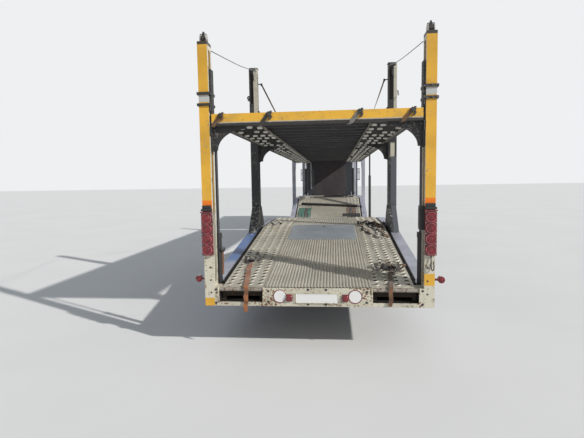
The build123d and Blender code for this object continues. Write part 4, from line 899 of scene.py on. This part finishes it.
def strap(name, points, half, colour, body="trailer", crosses=None):
    """A band of webbing through points; half is its half-width vector, one for all or one for each point."""
    fine, spread = [], []
    across = [Vector(h) for h in (half if isinstance(half, list) else [half] * len(points))]
    for i in range(len(points) - 1):
        before, a = points[max(i - 1, 0)], points[i]
        b, after = points[i + 1], points[min(i + 2, len(points) - 1)]
        for k in range(6):
            t = k / 6
            fine.append(0.5 * (2 * a + (b - before) * t + (2 * before - 5 * a + 4 * b - after) * t * t
                               + (3 * a - before - 3 * b + after) * t ** 3))
            spread.append(across[i].lerp(across[i + 1], t))
    fine.append(points[-1])
    spread.append(across[-1])
    band = Build().ribbon(fine, spread, 0.003)
    piece = band.done(name, "strap_" + colour, None if crosses else body)
    if crosses:
        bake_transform(piece)
    return piece


# Each tail strap's points, as x, station and height (over the deck before the lip) and a half-width vector.
TAIL_STRAPS = (
    ("left", "orange", 7, (
        (-0.900, 0.90, 0.012, 0.030, 0.016, 0.006), (-0.884, 0.76, 0.030, 0.028, 0.004, 0.012),
        (-0.890, 0.64, 0.012, 0.030, 0.012, -0.008), (-0.862, 0.50, 0.034, 0.027, 0.010, 0.010),
        (-0.850, 0.36, 0.012, 0.030, 0.008, -0.006), (-0.822, 0.20, 0.024, 0.027, 0.004, 0.004),
        (-0.806, 0.07, 0.022, 0.028, 0.003, 0.0), (-0.796, -0.014, 0.772, 0.026, 0.003, 0.0),
        (-0.790, -0.030, 0.720, 0.024, -0.008, 0.002), (-0.800, -0.020, 0.660, 0.026, 0.007, 0.002),
        (-0.794, -0.032, 0.605, 0.024, -0.010, -0.002), (-0.806, -0.022, 0.555, 0.025, 0.009, 0.002),
        (-0.800, -0.030, 0.490, 0.023, -0.008, 0.004))),
    ("right", "brown", 6, (
        (0.912, 0.84, 0.014, 0.022, -0.016, 0.006), (0.872, 0.70, 0.042, 0.024, -0.010, -0.006),
        (0.880, 0.56, 0.013, 0.020, -0.012, 0.008), (0.846, 0.42, 0.028, 0.024, -0.006, -0.004),
        (0.838, 0.26, 0.013, 0.024, 0.004, 0.004), (0.816, 0.07, 0.022, 0.024, 0.0, 0.0),
        (0.810, -0.014, 0.772, 0.022, 0.0, 0.0), (0.800, -0.030, 0.715, 0.022, 0.006, 0.0),
        (0.806, -0.022, 0.640, 0.022, -0.006, 0.0), (0.795, -0.028, 0.565, 0.021, 0.006, 0.0))),
)


def tail_straps():
    """Straps over the tail; what hangs before the ramps' pockets is made as a piece of its own."""
    for label, colour, lip, rows in TAIL_STRAPS:
        points = [(on_deck if i < lip else p)(*row[:3]) for i, row in enumerate(rows)]
        half = [row[3:] for row in rows]
        strap(f"strap_{label}", points[:lip + 1], half[:lip + 1], colour)
        end = strap(f"strap_{label}_end", points[lip:], half[lip:], colour)
        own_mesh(end)


def beam_straps():
    """Four ratchet straps wound round the upper deck's rear beam."""
    flat, slant = (0.020, 0.004, 0.0), (0.017, 0.0, -0.011)
    wound = (("a", -1.025, -1.115, "brown"), ("b", -0.493, -0.590, "black"), ("c", 0.482, 0.385, "grey"),
             ("d", 1.032, 0.925, "brown"))
    for letter, top, foot, colour in wound:
        name = "strap_beam_" + letter
        loop = [p(top + 0.03, 0.114, 2.697), p(top + 0.006, 0.030, 2.697), p(top, -0.004, 2.694),
                p(top - 0.006, -0.008, 2.682), p(foot + 0.008, -0.007, 2.572), p(foot, -0.003, 2.556),
                p(foot - 0.010, 0.030, 2.554), p(foot - 0.03, 0.110, 2.554)]
        half = [flat] * 3 + [slant] * 2 + [flat] * 3
        strap(name, loop, half, colour, "upper_deck")
        loose = [p(top + dx, s, z) for dx, s, z in ((0.020, -0.010, 2.706), (0.004, -0.016, 2.676),
                                                    (0.016, -0.014, 2.640), (-0.004, -0.020, 2.606))]
        strap(name + "_end", loose, (0.013, 0.004, 0.0), "black" if top > 0 else colour, "upper_deck")
        buckle = Build().box((top - 0.022, top + 0.022), (-0.022, -0.012), (2.652, 2.690))
        buckle.rod(p(top - 0.030, -0.018, 2.684), p(top + 0.030, -0.018, 2.684), 0.005)
        for dx in (-0.018, 0.018):
            buckle.rod(p(top + dx, -0.020, 2.656), p(top + dx - 0.020, -0.026, 2.622), 0.004)
        buckle.done(name + "_buckle", "dark_steel", "upper_deck", bevel=0.003)


def loose_straps():
    """Straps laid out by the neck, strips and heaps on the lower deck, and bundles hung on the mid posts."""
    for label, side, colours in (("left", -1, ("green", "black", "green", "green")),
                                 ("right", 1, ("brown", "black", "brown", "grey"))):
        for i, colour in enumerate(colours):
            x = side * (0.65 + 0.105 * i)
            run = [on_deck(x, 9.25 + 0.05 * i, 0.010), on_deck(x + 0.02, 9.62, 0.030),
                   on_deck(x - 0.015, 10.0, 0.012), on_deck(x + 0.01, 10.36, 0.020)]
            half = [(0.040, 0, h) for h in (0.0, 0.012, -0.010, 0.006)]
            strap(f"strap_{label}_far_{i + 1}", run, half, colour)
    strips = ((0.64, 0.80, 3.15, 2.35, "brown"), (0.74, 0.95, 3.20, 2.55, "grey"),
              (0.86, 1.04, 3.10, 2.20, "brown"), (0.70, 0.73, 3.00, 2.60, "pale"),
              (0.93, 1.00, 3.30, 2.80, "orange"), (1.03, 0.90, 3.25, 2.40, "pale"),
              (0.66, 0.92, 2.75, 2.12, "grey"))
    for k, (x0, x1, s0, s1, colour) in enumerate(strips):
        run = [on_deck(x0 + (x1 - x0) * i / 6 + 0.018 * (-1) ** i, s0 + (s1 - s0) * i / 6,
                       0.010 + 0.022 * ((i + k) % 2)) for i in range(7)]
        strap(f"hump_strip_{k + 1}", run, [(0.024, 0.008, 0.008 * (-1) ** i) for i in range(7)], colour)
    heaps = ((0.80, 3.38, 0.5, "brown"), (0.95, 3.10, 0.9, "brown"), (0.70, 3.25, 1.3, "black"),
             (-0.90, 3.25, 2.2, "black"), (0.84, 0.60, 0.7, "black"), (0.95, 0.68, 2.6, "brown"),
             (0.76, 0.70, 1.9, "black"), (0.74, 11.48, 3.0, "pale"), (0.60, 11.36, 0.4, "pale"),
             (-0.60, 11.44, 1.2, "grey"), (-0.92, 0.98, 1.5, "black"))
    for k, (x, s, turn, colour) in enumerate(heaps):
        run, spread = [], []
        for i in range(9):
            a, r = turn + 0.75 * i, 0.05 + 0.016 * i
            lift = 0.012 + 0.022 * (i % 3) + 0.004 * k % 0.009
            run.append(on_deck(x + r * cos(a) * 0.8, s + r * sin(a), lift))
            spread.append((0.021 * cos(a), 0.021 * sin(a), 0.008 * (-1) ** i))
        strap("heap_" + "abcdefghijk"[k], run, spread, colour)
    for label, x, s, z, colour in (("left", -1.296, 3.03, 3.405, "black"),
                                   ("right", 1.294, 3.00, 3.41, "brown")):
        run = [p(x + 0.016 * cos(1.9 * i), s + 0.034 * cos(0.8 * i), z + 0.046 * sin(1.3 * i))
               for i in range(9)]
        half = [(0.004, 0.016, 0.008 * (-1) ** i) for i in range(9)]
        strap(f"post_bundle_{label}", run, half, colour)


def deck_gear():
    """Lashing bars, ratchets and a chock on the lower deck, the valve pipe and the upper deck's prop."""
    route = [on_deck(-0.96, 10.60, 0.056), on_deck(0.0, 10.50, 0.052), on_deck(0.98, 10.38, 0.056)]
    bars = Build().ribbon(route, [Vector((0, -0.014, 0.040))] * 3, 0.045)
    bars.rod(on_deck(-0.58, 11.46, 0.030), on_deck(0.88, 11.26, 0.052), 0.022)
    bars.rod(on_deck(-0.20, 11.62, 0.060), on_deck(0.70, 11.30, 0.090), 0.016)
    bars.done("lashing_bars", "black", bevel=0.008, segments=2)
    ratchets = Build()
    for x, s in ((0.90, 0.63), (-0.90, 0.90), (0.86, 3.28)):
        z = deck_height(s) + 0.012
        ratchets.box((x - 0.030, x + 0.030), (s - 0.055, s + 0.055), (z, z + 0.018))
        ratchets.rod(p(x - 0.042, s, z + 0.028), p(x + 0.042, s, z + 0.028), 0.012)
        for dx in (-0.034, 0.034):
            ratchets.box((x + dx - 0.004, x + dx + 0.004), (s - 0.06, s + 0.10), (z + 0.006, z + 0.042))
    ratchets.done("ratchets", "dark_steel", bevel=0.003)
    route = [p(-1.128, 0.262, 0.86), p(-1.128, 0.262, 1.00), p(-1.127, 0.258, 1.10), p(-1.120, 0.245, 1.15)]
    Build().tube(route, 0.017, 14).done("valve_pipe", "rusty", smooth=True)
    cap = Build().revolve(p(-1.125, 0.250, 1.158), (0.6, -0.8, 0.1),
                          [(-0.03, 0.022), (-0.026, 0.031), (0.026, 0.031), (0.030, 0.024)], 20)
    cap.done("valve_pipe_end", "black", smooth=True)
    props = (("tube", "trailer", 0.888, 2.05, 0.031), ("rod", "upper_deck", 1.50, 2.562, 0.019))
    for label, body, low, high, r in props:
        prop = Build().revolve(p(1.085, PROP_S, low), (0, 0, 1),
                               [(0, r + 0.01), (0.03, r + 0.01), (0.032, r), (high - low, r)], 24)
        prop.done(f"deck_prop_{label}", "dark_steel", body, smooth=True)
    z = deck_height(9.42)
    wedge = ((9.42, z + 0.004), (9.62, z + 0.004), (9.62, z + 0.12), (9.58, z + 0.12))
    chock = Build().prism((0.46, 1.03), wedge)
    chock.done("wheel_chock", "black", bevel=0.008, segments=2)


def tyre_form(build, x, s, size):
    """A tyre with grooves round its tread, notched shoulders and a rim flange ridge on each side."""
    r, w, rim = size["r"], size["w"] / 2, size["rim"]
    h = r - rim
    side = [(0.70 * w, rim + 0.004), (0.80 * w, rim + 0.10 * h), (0.93 * w, rim + 0.16 * h),
            (0.99 * w, rim + 0.42 * h), (0.985 * w, rim + 0.44 * h), (0.975 * w, rim + 0.62 * h),
            (0.955 * w, rim + 0.78 * h), (0.93 * w, rim + 0.86 * h)]
    tread = [(0.84 * w, r - 0.004), (0.60 * w, r - 0.001), (0.58 * w, r - 0.014), (0.50 * w, r - 0.014),
             (0.48 * w, r), (0.22 * w, r), (0.20 * w, r - 0.014), (0.12 * w, r - 0.014), (0.10 * w, r)]
    half = side + tread
    profile = half + [(-a, b) for a, b in half[::-1]]
    last = len(profile) - 1
    notched = {len(side) - 1, len(side), last - len(side), last - len(side) + 1}
    rings = []
    centre = p(x, s, r)
    for i, (d, radius) in enumerate(profile):
        ring = []
        for k in range(TREAD_LUGS * 2):
            a = pi * k / TREAD_LUGS
            cut = 0.009 if i in notched and k % 4 < 2 else 0.0
            if abs(d) < 0.56 * w and k % 8 == 0:
                cut = 0.006
            ring.append(centre + Vector((d, (radius - cut) * cos(a), (radius - cut) * sin(a))))
        rings.append(build.verts(ring))
    build.loft([*rings, rings[0]], cap=False)


# A wheel nut's washer, hexagon and stud: profiles and numbers of sides.
NUT = (([(0, 0.019), (0.004, 0.019)], 12), ([(0.004, 0.0155), (0.022, 0.0155), (0.026, 0.012)], 6),
       ([(0.026, 0.009), (0.034, 0.009)], 8))


def wheels():
    """Tyres with tread, and the nuts and hub caps on the rims."""
    for label, side in SIDES:
        for name, places, s, size in (
                (f"steer_{label}", (1.055,), FRONT_AXLE, TRACTOR_TYRE),
                (f"drive_{label}", (0.750, 1.090), DRIVE_AXLE, TRACTOR_TYRE),
                (f"trailer_rear_{label}", (0.850, 1.120), TRAILER_AXLES[0], TRAILER_TYRE),
                (f"trailer_front_{label}", (0.850, 1.120), TRAILER_AXLES[1], TRAILER_TYRE)):
            single = "steer" in name
            body, node = (name + "_wheel", name + "_tyre") if single else (name + "_wheels", name + "_tyres")
            build = Build()
            for x in places:
                tyre_form(build, side * x, s, size)
            piece = build.done(name + "_treads", "rubber", body, smooth=True)
            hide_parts(node)
            seat = size["rim"] - 0.0003
            disc = places[-1] - (0.0 if single else 0.3 * size["w"])
            hub = Build(side)
            for i in range(10):
                a = 2 * pi * i / 10 + 0.2
                place = p(disc + 0.040, s + 0.52 * seat * cos(a), size["r"] + 0.52 * seat * sin(a))
                for profile, count in NUT:
                    hub.revolve(place, (1, 0, 0), profile, count)
            cap = [(-0.01, 0.43 * seat), (0.012, 0.42 * seat), (0.030, 0.38 * seat), (0.050, 0.33 * seat),
                   (0.056, 0.30 * seat), (0.060, 0.10 * seat), (0.060, 0.0)]
            hub.revolve(p(disc + 0.060, s, size["r"]), (1, 0, 0), cap, 32)
            hub.done(name + "_hub", "steel", body)


def trim():
    """Side markers and lashing rings along the side beams."""
    markers, bases, rings = Build(-1, 1), Build(-1, 1), Build()
    for s in (1.4, 5.6, 7.4, 9.2, 12.0, 13.2):
        z = (line_height(BEAM_LINE, s) + deck_height(s)) / 2
        bases.box((BEAM_X, BEAM_X + 0.006), (s - 0.065, s + 0.065), (z - 0.028, z + 0.028))
        markers.box((BEAM_X + 0.006, BEAM_X + 0.020), (s - 0.052, s + 0.052), (z - 0.018, z + 0.018))
    turn = [2 * pi * k / 16 for k in range(17)]
    for side, s in product((-1, 1), (2.35, 5.25, 8.3, 10.0, 11.6, 13.0)):
        rings.tube([on_deck(side * 1.19 + 0.026 * cos(a), s, 0.012 + 0.020 * sin(a)) for a in turn], 0.005, 6)
    bases.done("side_marker_bases", "black", bevel=0.002)
    markers.done("side_markers", "amber", bevel=0.006, segments=2)
    rings.done("lashing_rings", "steel", slot="rod_chrome", smooth=True)


def cab():
    """The cab's rear panel with its pipe, wipers, grille trims, lamps and roof markers."""
    back = Build().box((-0.71, 0.71), (CAB_REAR - 0.012, CAB_REAR - 0.0004), (1.24, 2.74))
    back.done("cab_back_panel", "cab_back", "tractor", bevel=0.010, segments=3)
    pipe = [(0, 0.028), (1.16, 0.028), (1.17, 0.022)]
    intake = Build().revolve(p(-0.84, CAB_REAR - 0.045, 1.58), (0, 0, 1), pipe, 20)
    for z in (1.70, 2.20, 2.66):
        intake.box((-0.875, -0.805), (CAB_REAR - 0.045, CAB_REAR - 0.0004), (z, z + 0.03))
    intake.done("cab_back_pipe", "pale_pipe", "tractor", smooth=True)
    ribs, wipers, chrome, roof = (Build() for _ in range(4))
    for z in (1.86, 2.14, 2.42):
        ribs.box((-0.66, 0.66), (CAB_REAR - 0.018, CAB_REAR - 0.011), (z, z + 0.02))
    ribs.done("cab_back_ribs", "cab_back", "tractor", bevel=0.005, segments=2)
    for x in (-0.62, 0.10, 0.78):
        foot, tip = p(x, CAB_FRONT - 0.015, 1.835), p(x - 0.42, CAB_FRONT - 0.115, 2.08)
        wipers.rod(foot, tip, 0.008, 8)
        wipers.rod(tip + Vector((-0.20, 0.008, -0.05)), tip + Vector((0.22, 0.012, -0.01)), 0.007, 6)
        wipers.revolve(foot, (0, 1, 0.4), [(-0.012, 0.02), (0.016, 0.018)], 14)
    wipers.done("wipers", "black", "tractor")
    for i in range(5):
        z = 1.142 + 0.104 * i
        chrome.box((-0.80, 0.80), (CAB_FRONT + 0.030, CAB_FRONT + 0.040), (z - 0.004, z + 0.006))
    chrome.done("grille_trims", "rim", "tractor", bevel=0.003)
    lamp = Build(-1, 1)
    profile = [(0.0, 0.066), (0.006, 0.066), (0.008, 0.060), (0.006, 0.050), (0.010, 0.040), (0.014, 0.0)]
    for x in (0.90, 1.07):
        lamp.revolve(p(x, CAB_FRONT + 0.066, 0.72), (0, 1, 0), profile, 32)
    lamp.done("headlamp_reflectors", "clear", "tractor", smooth=True)
    for x in (-0.85, -0.42, 0.0, 0.42, 0.85):
        roof.box((x - 0.05, x + 0.05), (CAB_FRONT - 0.66, CAB_FRONT - 0.56), (2.849, 2.874))
    roof.done("roof_markers", "amber", "tractor", bevel=0.010, segments=3)


def cab_sides():
    """Handles, seals, mirror glass and mouldings on the doors, with the step treads and tank trims."""
    ends = ((0.735, 0.55), (0.735, 0.85), (0.85, 0.962), (1.13, 0.962), (1.243, 0.85), (1.243, 0.55),
            (1.13, 0.438), (0.85, 0.438), (0.735, 0.55), (0.735, 0.85))
    for label, side in SIDES:
        door = f"door_{label}"
        handle = Build(side).box((DOOR_X, 1.262), (16.36, 16.40), (1.62, 1.66))
        handle.box((DOOR_X, 1.262), (16.52, 16.56), (1.62, 1.66))
        handle.box((1.256, 1.268), (16.36, 16.56), (1.62, 1.66))
        handle.done(f"door_handle_{label}", "black", door, bevel=0.005, segments=2)
        seal = Build(side).box((DOOR_X - 0.0005, 1.246), (16.40, 17.01), (1.808, 1.828))
        seal.box((DOOR_X - 0.0005, 1.246), (16.378, 16.398), (1.81, 2.53))
        seal.done(f"door_window_seal_{label}", "black", door, bevel=0.003)
        mirror = Build(side)
        for z in ((1.96, 2.30), (2.32, 2.47)):
            mirror.box((1.312, 1.438), (16.994, 17.0005), z)
        mirror.done(f"mirror_glass_{label}", "chrome", door, bevel=0.004)
        moulding = Build(side).box((DOOR_X - 0.0002, 1.250), (16.30, 17.09), (1.345, 1.385))
        moulding.done(f"door_moulding_{label}", "black", door, bevel=0.004)
        steps, tank = Build(side), Build()
        for z, k in product((0.444, 0.724), range(6)):
            steps.box((1.180, 1.236), (16.875 + 0.06 * k, 16.893 + 0.06 * k), (z, z + 0.010))
        steps.done(f"step_treads_{label}", "steel", "tractor", bevel=0.002)
        for s in (13.75, 14.40):
            tank.ribbon([p(side * x, s, z) for x, z in ends], [Vector((0, 0.03, 0))] * len(ends), 0.006)
        tank.done(f"tank_bands_{label}", "steel", "tractor")
        filler = Build(side)
        filler.revolve(p(1.12, 14.1, 0.955), (0, 0, 1), [(0, 0.055), (0.03, 0.055), (0.036, 0.048)], 24)
        filler.done(f"tank_cap_{label}", "black", "tractor", bevel=0.002)


def swell(piece, cap):
    """Swells a closed form by cloth pressure, each point by cap at most and its foot not at all."""
    def baked():
        mesh = bpy.data.meshes.new_from_object(piece.evaluated_get(bpy.context.evaluated_depsgraph_get()))
        piece.modifiers.clear()
        piece.data = mesh
        return [v.co.copy() for v in mesh.vertices]

    remesh = piece.modifiers.new("remesh", "REMESH")
    remesh.mode = "VOXEL"
    remesh.voxel_size = 0.012
    start = baked()
    cloth = piece.modifiers.new("cloth", "CLOTH")
    cloth.settings.use_pressure = True
    cloth.settings.uniform_pressure_force = 4.0
    cloth.settings.effector_weights.gravity = 0.0
    cloth.point_cache.frame_start, cloth.point_cache.frame_end = 1, 20
    for frame_number in range(1, 21):
        bpy.context.scene.frame_set(frame_number)
    swollen = baked()
    bpy.context.scene.frame_set(1)
    low = min(v.z for v in start)
    for v, a, b in zip(piece.data.vertices, start, swollen):
        move = b - a
        if move.length > cap:
            move *= cap / move.length
        v.co = a + move * min(1.0, (a.z - low) / 0.03)
    for face in piece.data.polygons:
        face.use_smooth = True
    piece.modifiers.new("fine", "SUBSURF").levels = 1


def seams(name, piece, paths, down):
    """Sewn cords laid on a cushion, found by looking along down from each path's points."""
    cords = Build()
    mesh = piece.data
    tree = BVHTree.FromPolygons([v.co for v in mesh.vertices], [f.vertices[:] for f in mesh.polygons])
    for path in paths:
        hits = [hit for hit in (tree.ray_cast(point - 0.3 * down, down)[0] for point in path) if hit]
        if len(hits) > 1:
            cords.tube(hits, 0.0035, 6)
    cords.done(name, "black", "tractor", "seat_fabric", smooth=True)


def cushions():
    """The two seats: pedestal, swollen seat cushion, backrest and headrest with sewn channels."""
    z0, s0 = 1.130, FRONT_AXLE + 0.050
    parts = (("base", 0.235, ((0.00, 0.250), (0.475, 0.250), (0.475, 0.385), (0.00, 0.385))),
             ("back", 0.225, ((0.012, 0.430), (0.105, 0.430), (0.055, 0.850), (-0.038, 0.850))),
             ("headrest", 0.120, ((-0.030, 0.885), (0.042, 0.885), (0.028, 1.025), (-0.044, 1.025))))
    for label, x in (("left", -0.62), ("right", 0.62)):
        foot = Build().box((x - 0.215, x + 0.215), (s0 + 0.03, s0 + 0.45), (z0, z0 + 0.245))
        foot.done(f"seat_pedestal_{label}", "black", "tractor", "seat_fabric", bevel=0.02, segments=3)
        for part, half, outline in parts:
            name = f"seat_{part}_{label}"
            build = Build().prism((x - half, x + half), [(s0 + ds, z0 + dz) for ds, dz in outline])
            piece = build.done(name, "seat", None, bevel=0.035, segments=4, smooth=True)
            swell(piece, 0.024)
            if part != "headrest":
                flat = part == "base"
                down = Vector((0, 0, -1)) if flat else Vector((0, -1, 0))
                paths = [[p(x + dx, s0 + 0.475 * t / 12, z0 + 0.4) if flat else
                          p(x + dx, s0 + 0.07, z0 + 0.43 + 0.42 * t / 12) for t in range(1, 12)]
                         for dx in (-0.11, 0.11)]
                seams(name + "_seams", piece, paths, down)
            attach(piece, "tractor")
            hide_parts("seats")


for make in (dress_nodes, camera, stage, lower_deck, upper_sheets, tail, rear_lamps, post_fittings,
             mid_post_fittings, rigging, tail_straps, beam_straps, loose_straps, deck_gear, wheels, trim,
             cab, cab_sides, cushions):
    make()
